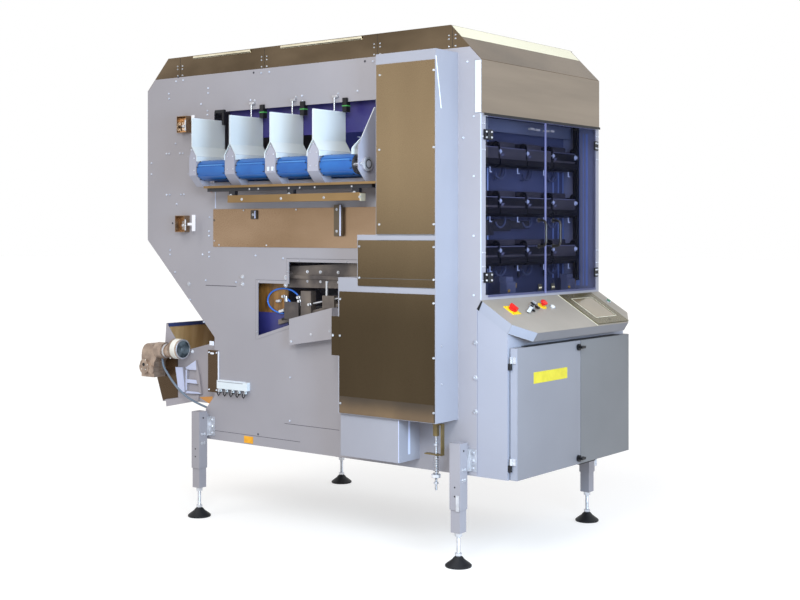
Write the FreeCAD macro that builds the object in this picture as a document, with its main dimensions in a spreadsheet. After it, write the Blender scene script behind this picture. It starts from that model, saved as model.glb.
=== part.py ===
import FreeCAD, Part
import Sketcher
import math
import os

# Driving sizes in millimetres, measured from the floor and from the middle of the four feet.
# The front is -Y, the lanes come out on the -X side and +Z is up.
SIZES = {
    "body_half": 553.5, "body_front": 964, "body_back": 1342, "back_step": 797, "back_low": 866,
    "frame_low": 420, "low_corner": 582, "step_low": 659, "step_top": 981, "back_turn": 1510,
    "plate_top": 2422, "corner_cut": 65, "hood_rise": 112, "sheet": 3, "thin": 2,
    "fascia_high": 247, "fascia_lap": 34, "sill": 1240, "post_width": 36, "frame_depth": 20,
    "door_gap": 5, "leaf_thick": 6, "leaf_seam": 4, "leaf_inset": 49.5, "hinge_high": 80,
    "handle_off": 68, "handle_height": 310, "handle_grip": 128, "handle_stand": 42,
    "handle_radius": 6, "handle_bend": 20,
    "leg_gap": 16.5, "foot_y": 867, "leg_side": 60, "leg_wall": 4, "leg_top": 575,
    "leg_low": 266, "shank_low": 160, "shank_side": 52, "pad_radius": 62.5, "pad_edge": 12,
    "stem_radius": 10,
    "cab_deep": 144, "cab_door_thick": 42, "cab_door_drop": 215, "cab_reveal": 16.5,
    "cab_rim": 25, "cab_seam": 40, "knob_radius": 16,
    "console_run": 236, "console_fall": 147, "console_thick": 50, "console_corner": 113.5,
    "console_cut": 200,
    "column_deep": 178.5, "column_set": 132, "column_low": 675, "column_drop": 22,
    "column_upper": 480, "column_middle": 365, "column_lower": 245,
    "middle_top": 1543, "lower_top": 1336, "panel_lap": 38, "column_foot": 207,
    "lane_first": 787, "lane_pitch": 290, "lane_reach": 181.5, "lane_back": 63.5,
    "bed_top": 1935, "lane_kerb": 23, "slant_high": 56, "lane_slant": 37, "wall_high": 151,
    "window_clear": 45, "window_side": 13,
    "roller_set": 53, "roller_radius": 50, "belt_thick": 3, "belt_width": 204,
    "belt_long": 382, "cleat_high": 3, "cleat_root": 2, "cleat_wide": 5, "cleat_pitch": 68,
    "shaft_radius": 15, "bearing_radius": 34, "bearing_thick": 12, "post_drop": 77,
    "beam_drop": 135, "beam_thick": 12,
    "rail_high": 18, "channel_high": 38, "hanger_gap": 22,
    "infeed_low": 1475, "infeed_high": 205,
    "opening_front": 222, "opening_step": 245, "opening_back": 467, "opening_top": 1400,
    "opening_drop": 115, "opening_low": 1005, "opening_slope": 203,
    "rail_thick": 40, "tie_radius": 18,
    "chute_stand": 46, "chute_front": 90, "chute_back": 200, "chute_top": 1175,
    "chute_high": 157, "chute_fall": 68,
    "hopper_inset": 83.5, "hopper_top": 1032, "hopper_run": 481, "hopper_low": 600,
    "gear_run": 118, "gear_wide": 100, "motor_radius": 56, "motor_high": 897,
    "cable_radius": 6,
    "row_front": 104, "row_deep": 110, "row_high": 98, "row_low": 150, "row_pitch": 242,
    "unit_pitch": 248, "unit_gap": 12,
}
LANES = 4

doc = FreeCAD.newDocument("weight_grading_machine")
sheet = doc.addObject("Spreadsheet::Sheet", "sizes")
for row, (word, amount) in enumerate(SIZES.items(), start=1):
    sheet.set("A%d" % row, word)
    sheet.set("B%d" % row, str(amount))
    sheet.setAlias("B%d" % row, word)
doc.recompute()

NODES = {}


# Formulas are plain text with spaces between the words, and every word may be a size
def split_sign(word):
    if word[0] == "-" and len(word) > 1:
        return -1.0, word[1:]
    return 1.0, word


def number(text):
    """Value of a formula of + - * and /, worked out from the sheet."""
    total, sign, factor, divide = 0.0, 1.0, None, False
    for word in text.split():
        if word in ("+", "-"):
            total += sign * factor
            sign, factor = (1.0 if word == "+" else -1.0), None
        elif word == "*":
            divide = False
        elif word == "/":
            divide = True
        else:
            flip, word = split_sign(word)
            item = flip * (float(sheet.get(word)) if word in SIZES else float(word))
            if factor is None:
                factor = item
            else:
                factor = factor / item if divide else factor * item
    return total + sign * factor


def bound(text):
    """The same formula as FreeCAD reads it."""
    words = []
    for word in text.split():
        flip, bare = split_sign(word)
        if bare in SIZES:
            word = ("-" if flip < 0 else "") + "sizes." + bare
        words.append(word)
    return " ".join(words)


def minus(text):
    """The same formula with every sign turned round."""
    words = text.split()
    words[0] = words[0][1:] if words[0][0] == "-" else "-" + words[0]
    return " ".join({"+": "-", "-": "+"}.get(word, word) for word in words)


def plus(first, second):
    """Two formulas added up."""
    return first + (" - " + second[1:] if second[0] == "-" else " + " + second)


# Places that follow from the driving sizes
FOOT_X = "body_half + leg_gap + leg_side / 2"
HOOD_TOP = "plate_top + hood_rise"
FASCIA_LOW = "plate_top - corner_cut - fascia_high"
LEAF_OUT = "body_half - leaf_inset"
CAB_FRONT = "body_front + cab_deep"
CAB_FACE = CAB_FRONT + " + cab_door_thick"
CAB_DOOR_TOP = "sill - cab_door_drop"
CAB_DOOR_HALF = "body_half - cab_reveal"
COLUMN_OUT = "body_half + column_deep"
COLUMN_FRONT = "body_front - column_set"
COLUMN_TOP = "plate_top - column_drop"
LANE_OUT = "body_half + lane_reach"
LANE_IN = "body_half - lane_back"
LANE_LOW = "bed_top + lane_kerb"
LANE_BEND = LANE_LOW + " + slant_high"
LANE_TOP = LANE_BEND + " + wall_high"
LANES_END = "lane_first - lane_pitch * %d" % LANES
ROLLER_X = LANE_OUT + " - roller_set"
ROLLER_Z = "bed_top - roller_radius"
BEAM_TOP = "bed_top - beam_drop"
BELT_LOW = ROLLER_Z + " - roller_radius - belt_thick - cleat_high"
WINDOW = (LANES_END + " - window_side", "lane_first + window_side",
          BEAM_TOP + " - beam_thick + 2", LANE_TOP + " + window_clear")
HOPPER_HALF = "body_half - hopper_inset"
HOPPER_BACK = "back_step + hopper_run"
GEAR_BACK = HOPPER_BACK + " + gear_run"
ROW_FACE = "body_front - row_front"
OPENING_TURN = "opening_top - opening_drop"
INNER_FACE = ROW_FACE + " - row_deep"

# Where the middle of the whole machine lies, so that every placement can put it at the origin
EXTENT_X = (-number(LANE_OUT), number(FOOT_X + " + pad_radius"))
EXTENT_Y = (-number("body_front + console_run"), number(GEAR_BACK))
SHIFT = FreeCAD.Vector(-sum(EXTENT_X) / 2, -sum(EXTENT_Y) / 2, 0)


def place(item, x="0", y="0", z="0", turn=None):
    """Puts an object at a point given as formulas, bound to the sheet."""
    item.Placement = FreeCAD.Placement(
        FreeCAD.Vector(number(x), number(y), number(z)) + SHIFT, turn or FreeCAD.Rotation())
    item.setExpression("Placement.Base.x", "%s + %.4f" % (bound(x), SHIFT.x))
    item.setExpression("Placement.Base.y", "%s + %.4f" % (bound(y), SHIFT.y))
    item.setExpression("Placement.Base.z", bound(z))
    return item


def block(name, x0, x1, y0, y1, z0, z1):
    """A box between two corners."""
    item = doc.addObject("Part::Box", name)
    for side, low, high in (("Length", x0, x1), ("Width", y0, y1), ("Height", z0, z1)):
        item.setExpression(side, "(%s) - (%s)" % (bound(high), bound(low)))
    return place(item, x0, y0, z0)


TURNS = {
    "X": FreeCAD.Rotation(FreeCAD.Vector(0, 1, 0), 90),
    "Y": FreeCAD.Rotation(FreeCAD.Vector(1, 0, 0), -90),
    "Z": FreeCAD.Rotation(),
}


def round_solid(name, radius, flats):
    """A cylinder, or a prism with a number of flats where a small piece repeats."""
    if not flats:
        item = doc.addObject("Part::Cylinder", name)
        item.setExpression("Radius", bound(radius))
        return item
    item = doc.addObject("Part::Prism", name)
    item.Polygon = flats
    item.setExpression("Circumradius", bound(radius))
    return item


def rod(name, axis, x, y, z, radius, length, flats=0):
    """A round bar that starts at a point and runs along an axis."""
    item = round_solid(name, radius, flats)
    item.setExpression("Height", bound(length))
    return place(item, x, y, z, TURNS[axis])


def fuse(name, pieces):
    item = doc.addObject("Part::MultiFuse", name)
    item.Shapes = pieces
    item.Refine = True
    return item


def cut(name, base, tools):
    tool = tools[0] if len(tools) == 1 else fuse(name + "_tools", tools)
    item = doc.addObject("Part::Cut", name)
    item.Base = base
    item.Tool = tool
    return item


def group(name, pieces):
    """Like pieces that don't touch and share a node."""
    item = doc.addObject("Part::Compound", name)
    item.Links = pieces
    return item


def draw(body, name, plane, start, outlines):
    """A sketch of closed outlines, each corner held to the sheet by two formulas."""
    sketch = body.newObject("Sketcher::SketchObject", name)
    base = [f for f in body.Origin.OriginFeatures if f.Role == plane][0]
    sketch.AttachmentSupport = (base, [""])
    sketch.MapMode = "FlatFace"
    sketch.AttachmentOffset = FreeCAD.Placement(
        FreeCAD.Vector(0, 0, number(start)), FreeCAD.Rotation())
    sketch.setExpression("AttachmentOffset.Base.z", bound(start))
    for outline in outlines:
        first = sketch.GeometryCount
        corners = [FreeCAD.Vector(number(a), number(b), 0) for a, b in outline]
        lines = []
        for i, corner in enumerate(corners):
            lines.append(Part.LineSegment(corner, corners[(i + 1) % len(corners)]))
        sketch.addGeometry(lines, False)
        for i, (a, b) in enumerate(outline):
            follow = first + (i + 1) % len(outline)
            sketch.addConstraint(Sketcher.Constraint("Coincident", first + i, 2, follow, 1))
        for i, (a, b) in enumerate(outline):
            for kind, text in (("DistanceX", a), ("DistanceY", b)):
                hold = sketch.addConstraint(
                    Sketcher.Constraint(kind, -1, 1, first + i, 1, number(text)))
                sketch.setExpression("Constraints[%d]" % hold, bound(text))
    return sketch


def pad(body, name, plane, start, depth, outlines):
    item = body.newObject("PartDesign::Pad", name)
    item.Profile = draw(body, name + "_sketch", plane, start, outlines)
    item.setExpression("Length", bound(depth))
    doc.recompute()
    return item


def pocket(body, name, plane, start, depth, outlines):
    """Cuts along the plane's own normal, and makes sure that it cuts."""
    before = body.Shape.Volume
    item = body.newObject("PartDesign::Pocket", name)
    item.Profile = draw(body, name + "_sketch", plane, start, outlines)
    item.setExpression("Length", bound(depth))
    item.Reversed = True
    doc.recompute()
    if not body.Shape.Volume < before - 1:
        raise RuntimeError(name + " cuts nothing")
    return item


def new_body(name, x="0", y="0", z="0", turn=None):
    return place(doc.addObject("PartDesign::Body", name), x, y, z, turn)


def plate(name, plane, start, depth, outlines):
    """One padded sketch as a body of its own."""
    body = new_body(name)
    pad(body, name + "_pad", plane, start, depth, outlines)
    return body


def turned(name, x, y, profile):
    """A body of revolution about an upright axis, from radius and height pairs."""
    body = new_body(name, x, y)
    item = body.newObject("PartDesign::Revolution", name + "_turn")
    item.Profile = draw(body, name + "_sketch", "XZ_Plane", "0", [profile])
    item.ReferenceAxis = (item.Profile[0], ["V_Axis"])
    item.Angle = 360
    doc.recompute()
    return body


def bent_bar(name, route, radius):
    """A bar with twelve flats along straight runs, mitred at every corner of its route."""
    points = [FreeCAD.Vector(*[number(text) for text in point]) + SHIFT for point in route]
    spin = FreeCAD.Rotation(FreeCAD.Vector(0, 0, 1), points[1] - points[0])
    corners = []
    for i in range(13):
        turn = math.radians(30 * (i % 12))
        corners.append(points[0] + spin.multVec(
            FreeCAD.Vector(math.cos(turn), math.sin(turn), 0)) * number(radius))
    ring = Part.makePolygon(corners)
    item = doc.addObject("Part::Feature", name)
    item.Shape = Part.makePolygon(points).makePipeShell([ring], True, False, 1)
    return item


def rectangle(a0, a1, b0, b1):
    return [(a0, b0), (a1, b0), (a1, b1), (a0, b1)]


def keep(label, item):
    """Names the finished sub-part, whose label is its file."""
    item.Label = label
    NODES[label] = item
    return item


# Side plates: folded sheet steel with the lane window and the service opening
CONSOLE_SLOPE = math.atan2(number("console_fall"), number("console_run"))
LIP_Y = "%.4f" % (number("console_thick") * math.sin(CONSOLE_SLOPE))
LIP_Z = "%.4f" % (number("console_thick") * math.cos(CONSOLE_SLOPE))
CAB_BACK = "body_front - " + LIP_Y
LIP_HIGH = "sill - " + LIP_Z


def plate_outline():
    return [
        ("-body_front + " + LIP_Y, "frame_low"), ("-body_front + " + LIP_Y, LIP_HIGH),
        ("-body_front", "sill"), ("-body_front", "plate_top - corner_cut"),
        ("-body_front + corner_cut", "plate_top"), ("body_back - corner_cut", "plate_top"),
        ("body_back", "plate_top - corner_cut"), ("body_back", "back_turn"),
        ("back_step", "step_top"), ("back_step", "step_low"), ("back_low", "low_corner"),
        ("back_low", "frame_low")]


def opening_outline(grow):
    """The stepped service opening with its sloping foot, grown by a lip on every side."""
    slope = number("opening_slope") / number("opening_front + opening_back")
    dip = "%.4f" % (number(grow) * (math.sqrt(1 + slope * slope) + slope))
    rise = "%.4f" % (number(grow) * (math.sqrt(1 + slope * slope) - slope))
    front, step, back = "-opening_front - " + grow, "opening_step + " + grow, "opening_back + " + grow
    return [
        (front, "opening_top + " + grow), (step, "opening_top + " + grow),
        (step, OPENING_TURN + " + " + grow), (back, OPENING_TURN + " + " + grow),
        (back, "opening_low - " + dip), (front, "opening_low + opening_slope - " + rise)]


def side_plate(side):
    holes = [rectangle(*WINDOW)]
    start = "body_half - sheet"
    if side == "left":
        start = "-body_half"
        holes.append(opening_outline("0"))
    body = plate("side_plate_" + side, "YZ_Plane", start, "sheet", [plate_outline()] + holes)
    if side == "left":
        pad(body, "opening_lip", "YZ_Plane", "-body_half - thin", "thin",
            [opening_outline("16"), opening_outline("0")])
    keep("side_plate_" + side, body)


# Hood: one bent stainless lid whose slopes lie on the cut corners of the side plates
def hood():
    lap = "%.4f" % (number("thin") * math.sqrt(2))
    climb = "hood_rise + corner_cut"
    body = new_body("hood")
    low = "plate_top - corner_cut"
    pad(body, "hood_pad", "YZ_Plane", "-body_half", "body_half * 2", [[
        ("-body_front", low), ("-body_front", low + " + " + lap),
        ("-body_front + " + climb + " - " + lap, HOOD_TOP),
        ("body_back - " + climb.replace("+", "-") + " + " + lap, HOOD_TOP),
        ("body_back", low + " + " + lap), ("body_back", low),
        ("body_back - corner_cut", "plate_top"), ("-body_front + corner_cut", "plate_top")]])
    pocket(body, "hood_hollow", "YZ_Plane", "-body_half + thin", "body_half * 2 - thin - thin", [[
        ("-body_front + corner_cut", "plate_top"),
        ("-body_front + " + climb + " - thin", HOOD_TOP + " - thin"),
        ("body_back - " + climb.replace("+", "-") + " + thin", HOOD_TOP + " - thin"),
        ("body_back - corner_cut", "plate_top")]])
    keep("hood", body)


# Front fascia: a stainless pan that laps over the front edges of both side plates
def front_fascia():
    body = new_body("front_fascia")
    top = "plate_top - corner_cut"
    pad(body, "fascia_face", "XZ_Plane", "body_front", "thin",
        [rectangle("-body_half - thin", "body_half + thin", FASCIA_LOW, top)])
    pad(body, "fascia_laps", "XZ_Plane", "body_front - fascia_lap", "fascia_lap", [
        rectangle("-body_half - thin", "-body_half", FASCIA_LOW, top),
        rectangle("body_half", "body_half + thin", FASCIA_LOW, top)])
    keep("front_fascia", body)


# Door frame: a folded ring between the side plates
def door_frame():
    body = new_body("door_frame")
    outer = rectangle("-body_half + sheet", "body_half - sheet", "sill", FASCIA_LOW + " + post_width")
    inner = rectangle("-body_half + post_width", "body_half - post_width", "sill + 22",
                      FASCIA_LOW + " - 15")
    rim = rectangle("-body_half + sheet + thin", "body_half - sheet - thin", "sill + thin",
                    FASCIA_LOW + " + post_width - thin")
    pad(body, "frame_face", "XZ_Plane", "body_front - sheet", "sheet", [outer, inner])
    pad(body, "frame_rim", "XZ_Plane", "body_front - frame_depth", "frame_depth - sheet",
        [outer, rim])
    keep("door_frame", body)


# Tinted guard doors over the weighing heads, with their hinges and handles
LEAF_LOW = "sill + 12"
LEAF_HIGH = FASCIA_LOW + " - 6"
LEAF_FACE = "body_front + door_gap + leaf_thick"
SIDES = (("left", -1), ("right", 1))


def sided(way, text):
    """A distance from the middle, to the left or to the right."""
    return text if way > 0 else minus(text)


def span(way, near, far):
    """Two distances from the middle, sorted from left to right."""
    return (near, far) if way > 0 else (minus(far), minus(near))


def guard_door(side, way):
    x0, x1 = span(way, "leaf_seam / 2", LEAF_OUT)
    keep("guard_door_" + side, plate("guard_door_" + side, "XZ_Plane", "body_front + door_gap",
                                     "leaf_thick", [rectangle(x0, x1, LEAF_LOW, LEAF_HIGH)]))


def guard_door_hinges():
    pieces = []
    for side, way in SIDES:
        for i, z in enumerate((LEAF_LOW + " + 103", LEAF_HIGH + " - 102")):
            tag = "%s_%d" % (side, i)
            x0, x1 = span(way, LEAF_OUT + " + 0.3", "body_half - 13")
            low, high = z + " - hinge_high / 2", z + " + hinge_high / 2"
            seat = block("hinge_seat_" + tag, x0, x1, minus(LEAF_FACE), "-body_front", low, high)
            barrel = rod("hinge_barrel_" + tag, "Z", sided(way, LEAF_OUT + " + 8"),
                         minus(LEAF_FACE), low, "6", "hinge_high")
            x0, x1 = span(way, LEAF_OUT + " - 26", LEAF_OUT + " + 6")
            flap = block("hinge_flap_" + tag, x0, x1, minus(LEAF_FACE) + " - 4", minus(LEAF_FACE),
                         low, high)
            pieces.append(fuse("guard_hinge_" + tag, [seat, barrel, flap]))
    keep("guard_door_hinges", group("guard_door_hinges", pieces))


def guard_door_handles():
    """Bows of round bar on small round feet, one beside the inner edge of each leaf."""
    pieces, face = [], minus(LEAF_FACE)
    middle, half = "sill + handle_height", "handle_grip / 2"
    for side, way in SIDES:
        x = sided(way, "handle_off")
        bend, feet = [], []
        for turn in (0, 45, 90):
            back = "handle_bend * %.4f" % (1 - math.sin(math.radians(turn)))
            down = "handle_bend * %.4f" % (1 - math.cos(math.radians(turn)))
            bend.append((face + " - handle_stand + " + back, half + " - " + down))
        low = [(x, y, plus(middle, minus(z))) for y, z in bend]
        high = [(x, y, plus(middle, z)) for y, z in reversed(bend)]
        ends = [[(x, face, plus(middle, sign(half)))] for sign in (minus, str)]
        bow = bent_bar("handle_bow_" + side, ends[0] + low + high + ends[1], "handle_radius")
        for i, end in enumerate(ends):
            feet.append(rod("handle_foot_%s_%d" % (side, i), "Y", x, face + " - 3", end[0][2],
                            "handle_radius * 2", "3", 16))
        pieces.append(fuse("handle_" + side, [bow] + feet))
    keep("guard_door_handles", group("guard_door_handles", pieces))


# Console: a sloped pan with cut front corners, open below
CONSOLE_LONG = "%.4f" % math.hypot(number("console_run"), number("console_fall"))
CONSOLE_TURN = FreeCAD.Rotation(FreeCAD.Vector(1, 0, 0), math.degrees(CONSOLE_SLOPE))


def on_console(item, x, y, lift):
    """Sets an object on the console's slope, by its distance across, down and above it."""
    spot = CONSOLE_TURN.multVec(FreeCAD.Vector(number(x), number(y), number(lift)))
    return place(item, "%.4f" % spot.x, "-body_front + %.4f" % spot.y, "sill + %.4f" % spot.z,
                 CONSOLE_TURN)


def console_rod(name, x, y, lift, radius, length, flats=0):
    item = round_solid(name, radius, flats)
    item.setExpression("Height", bound(length))
    return on_console(item, x, y, lift)


def console_block(name, x, y, lift, wide, deep, high):
    item = doc.addObject("Part::Box", name)
    for side, text in (("Length", wide), ("Width", deep), ("Height", high)):
        item.setExpression(side, bound(text))
    return on_console(item, x + " - " + wide + " / 2", y + " - " + deep + " / 2", lift)


def console_shape(inset):
    nose, side = "body_half - console_corner", "body_half - " + inset
    corner = nose if inset == "0" else nose + " - %s / 2" % inset
    front = "-%s + %s" % (CONSOLE_LONG, inset)
    return [(minus(side), "-" + inset), (side, "-" + inset), (side, "-console_cut"),
            (corner, front), (minus(corner), front), (minus(side), "-console_cut")]


CONTROLS = {
    "main_switch": ("-body_half + 135.5", "-97"), "key": ("-body_half + 307.5", "-92"),
    "stop": ("-body_half + 418.5", "-84"), "white": ("-body_half + 495.5", "-99"),
    "green": ("body_half - 37.5", "-91"),
}


def console():
    body = new_body("console", "0", "-body_front", "sill", CONSOLE_TURN)
    pad(body, "console_pad", "XY_Plane", "-console_thick", "console_thick", [console_shape("0")])
    pocket(body, "console_hollow", "XY_Plane", "-console_thick", "console_thick - thin",
           [console_shape("thin")])
    holes = [console_rod("hole_" + word, x, y, "-5", "4.1" if word != "main_switch" else "5.1",
                         "10") for word, (x, y) in CONTROLS.items() if word != "key"]
    keep("console", cut("console_cut_out", body, holes))


def console_controls():
    x, y = CONTROLS["main_switch"]
    base = console_block("switch_base", x, y, "0", "66", "66", "4")
    hole = console_rod("switch_hole", x, y, "-1", "5.1", "8")
    x2, y2 = CONTROLS["stop"]
    collar = console_rod("stop_collar", x2, y2, "0", "24", "4")
    bore = console_rod("stop_bore", x2, y2, "-1", "4.1", "8")
    keep("yellow_plates", group("yellow_plates", [
        cut("switch_plate", base, [hole]), cut("stop_plate", collar, [bore])]))
    knob = fuse("switch_knob", [
        console_rod("knob_disc", x, y, "5", "21", "8"),
        console_block("knob_grip", x, y, "12", "12", "44", "16"),
        console_rod("knob_shaft", x, y, "-4", "5", "10", 12)])
    keep("main_switch_knob", knob)
    head = fuse("stop_button", [
        console_rod("stop_mushroom", x2, y2, "20", "19", "12"),
        console_rod("stop_neck", x2, y2, "12", "12", "9", 16),
        console_rod("stop_shaft", x2, y2, "-4", "4", "17", 12)])
    keep("stop_head", head)
    rings = []
    for word in ("white", "green"):
        bx, by = CONTROLS[word]
        rings.append(cut("ring_" + word, console_rod("ring_body_" + word, bx, by, "0", "15", "5"),
                         [console_rod("ring_bore_" + word, bx, by, "-1", "11", "8")]))
        cap = fuse("cap_" + word, [
            console_rod("cap_top_" + word, bx, by, "3.5", "10.9", "5"),
            console_rod("cap_stem_" + word, bx, by, "-4", "4", "8", 12)])
        keep(word + "_button", cap)
    kx, ky = CONTROLS["key"]
    rings.append(fuse("key_switch", [
        console_rod("key_barrel", kx, ky, "0", "14", "10"),
        console_block("key_blade", kx, ky, "9", "3", "22", "30")]))
    keep("switch_rings", group("switch_rings", rings))


def touch_screen():
    body = doc.addObject("PartDesign::Body", "touch_screen")
    on_console(body, "0", "0", "0")
    pad(body, "screen_frame", "XY_Plane", "0", "6",
        [rectangle("body_half - 423.5", "body_half - 103.5", "-270", "-12")])
    pocket(body, "screen_recess", "XY_Plane", "4", "5",
           [rectangle("body_half - 366.5", "body_half - 160.5", "-219", "-54")])
    keep("touch_screen", body)


# Electrical cabinet under the console
def cabinet_shell():
    slope = number("console_fall") / number("console_run")
    drop = "%.4f" % (slope * (number("cab_deep") + float(LIP_Y)))
    low, back, front = "frame_low", "-body_front + " + LIP_Y, minus(CAB_FRONT)
    body = new_body("cabinet_shell")
    pad(body, "shell_pad", "YZ_Plane", "-body_half", "body_half * 2", [[
        (front, low), (back, low), (back, LIP_HIGH), (front, LIP_HIGH + " - " + drop)]])
    pocket(body, "shell_hollow", "YZ_Plane", "-body_half + thin", "body_half * 2 - thin - thin", [[
        (front + " + thin", low + " + thin"), (back + " - thin", low + " + thin"),
        (back + " - thin", LIP_HIGH + " - thin - thin"),
        (front + " + thin", LIP_HIGH + " - " + drop + " - thin")]])
    rim_low, rim_high = "frame_low + cab_rim", CAB_DOOR_TOP + " - cab_rim"
    pocket(body, "shell_doorways", "XZ_Plane", CAB_FRONT + " - thin - 1", "thin + 2", [
        rectangle(minus(CAB_DOOR_HALF) + " + cab_rim", "cab_seam - 20", rim_low, rim_high),
        rectangle("cab_seam + 20", CAB_DOOR_HALF + " - cab_rim", rim_low, rim_high)])
    keep("cabinet_shell", body)


LOCKS = ("frame_low + 29", CAB_DOOR_TOP + " - 32")
LOCK_X = "cab_seam - 27"


def cabinet_door(side):
    x0, x1 = minus(CAB_DOOR_HALF), "cab_seam - 2"
    if side == "right":
        x0, x1 = "cab_seam + 2", CAB_DOOR_HALF
    body = new_body("cabinet_door_" + side)
    back, deep = CAB_FRONT + " + door_gap", "cab_door_thick - door_gap"
    pad(body, "door_pad_" + side, "XZ_Plane", back, deep,
        [rectangle(x0, x1, "frame_low", CAB_DOOR_TOP)])
    pocket(body, "door_hollow_" + side, "XZ_Plane", back, deep + " - thin", [rectangle(
        x0 + " + thin", x1 + " - thin", "frame_low + thin", CAB_DOOR_TOP + " - thin")])
    if side == "right":
        keep("cabinet_door_right", body)
        return
    holes = [rod("lock_hole_%d" % i, "Y", LOCK_X, minus(CAB_FACE) + " - 2", z,
                 "knob_radius / 2 + 0.1", "6") for i, z in enumerate(LOCKS)]
    keep("cabinet_door_left", cut("cabinet_door_left_cut", body, holes))


def lock_knob(name, z):
    face = minus(CAB_FACE)
    keep(name, fuse(name, [
        rod(name + "_disc", "Y", LOCK_X, face + " - 10", z, "knob_radius", "9"),
        block(name + "_wing", LOCK_X + " - 5", LOCK_X + " + 30", face + " - 28", face + " - 9",
              z + " - 6", z + " + 6"),
        rod(name + "_shaft", "Y", LOCK_X, face + " - 2", z, "knob_radius / 2", "10", 12)]))


HINGE_Y = minus(CAB_FRONT) + " - 13"
HINGE_ROWS = ("frame_low + 40", CAB_DOOR_TOP + " - 100")


def cabinet_hinges():
    fixed = []
    for side, way in SIDES:
        moving = []
        for i, z in enumerate(HINGE_ROWS):
            tag = "%s_%d" % (side, i)
            x = sided(way, CAB_DOOR_HALF + " + 8")
            x0, x1 = span(way, CAB_DOOR_HALF + " + 4", CAB_DOOR_HALF + " + 14")
            leaf0, leaf1 = span(way, CAB_DOOR_HALF, CAB_DOOR_HALF + " + 6")
            seat = block("cab_seat_" + tag, x0, x1, HINGE_Y, minus(CAB_FRONT), z, z + " + 29")
            low = rod("cab_barrel_" + tag, "Z", x, HINGE_Y, z, "6", "29", 16)
            pin = rod("cab_pin_" + tag, "Z", x, HINGE_Y, z + " + 28", "3", "31")
            fixed.append(fuse("cab_hinge_" + tag, [seat, low, pin]))
            leaf = block("cab_leaf_" + tag, leaf0, leaf1, minus(CAB_FACE) + " + 5", HINGE_Y,
                         z + " + 30", z + " + 60")
            high = rod("cab_eye_" + tag, "Z", x, HINGE_Y, z + " + 30", "6", "30")
            bore = rod("cab_bore_" + tag, "Z", x, HINGE_Y, z + " + 29", "3.08", "32")
            moving.append(cut("cab_moving_" + tag, fuse("cab_lug_" + tag, [leaf, high]), [bore]))
        keep("cabinet_hinge_leaves_" + side, group("cabinet_hinge_leaves_" + side, moving))
    keep("cabinet_hinge_pins", group("cabinet_hinge_pins", fixed))


# Column cover: a stepped sheet box on the lane side, with stainless panels screwed on
def column_outline(inset):
    front, low, high = minus(COLUMN_FRONT) + " + " + inset, "column_low + ", " - " + inset
    return [
        (front, low + inset), ("-column_lower" + high, low + inset),
        ("-column_lower" + high, "lower_top" + high), ("-column_middle" + high, "lower_top" + high),
        ("-column_middle" + high, "middle_top" + high),
        ("-column_upper" + high, "middle_top" + high),
        ("-column_upper" + high, COLUMN_TOP + high), (front, COLUMN_TOP + high)]


def column_cover():
    body = new_body("column_cover")
    pad(body, "column_pad", "YZ_Plane", minus(COLUMN_OUT), "column_deep", [column_outline("0")])
    pocket(body, "column_hollow", "YZ_Plane", minus(COLUMN_OUT) + " + thin", "column_deep",
           [column_outline("thin")])
    low = new_body("column_foot")
    front, back, foot = minus(COLUMN_FRONT) + " + 225", "-column_lower - 4", "column_low - column_foot"
    pad(low, "foot_pad", "YZ_Plane", minus(COLUMN_OUT) + " + 14", "column_deep - 14",
        [rectangle(front, back, foot, "column_low")])
    pocket(low, "foot_hollow", "YZ_Plane", minus(COLUMN_OUT) + " + 14 + thin", "column_deep",
           [rectangle(front + " + thin", back + " - thin", foot + " + thin", "column_low - thin")])
    keep("column_cover", fuse("column_cover_all", [body, low]))


def column_panels():
    out, front = minus(COLUMN_OUT) + " - thin", minus(COLUMN_FRONT) + " + 4"
    low = [(front, "column_low + 4"), ("-column_lower - 8", "column_low + 4"),
           ("-column_lower - 8", "lower_top - 68"), (front, "lower_top - 68")]
    keep("column_panels", group("column_panels", [
        plate("panel_upper", "YZ_Plane", out, "thin", [rectangle(
            front, "-column_upper - 4", "middle_top + 3", COLUMN_TOP + " - 50")]),
        plate("panel_middle", "YZ_Plane", out, "thin", [rectangle(
            front, "-column_middle - 5", "lower_top - panel_lap", "middle_top - 26")]),
        plate("panel_lower", "YZ_Plane", out, "thin", [low])]))


# Four lanes: folded troughs, the posts between them, the drive shaft and the belts
def lane_y(i):
    return "lane_first - lane_pitch * %d" % i


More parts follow.
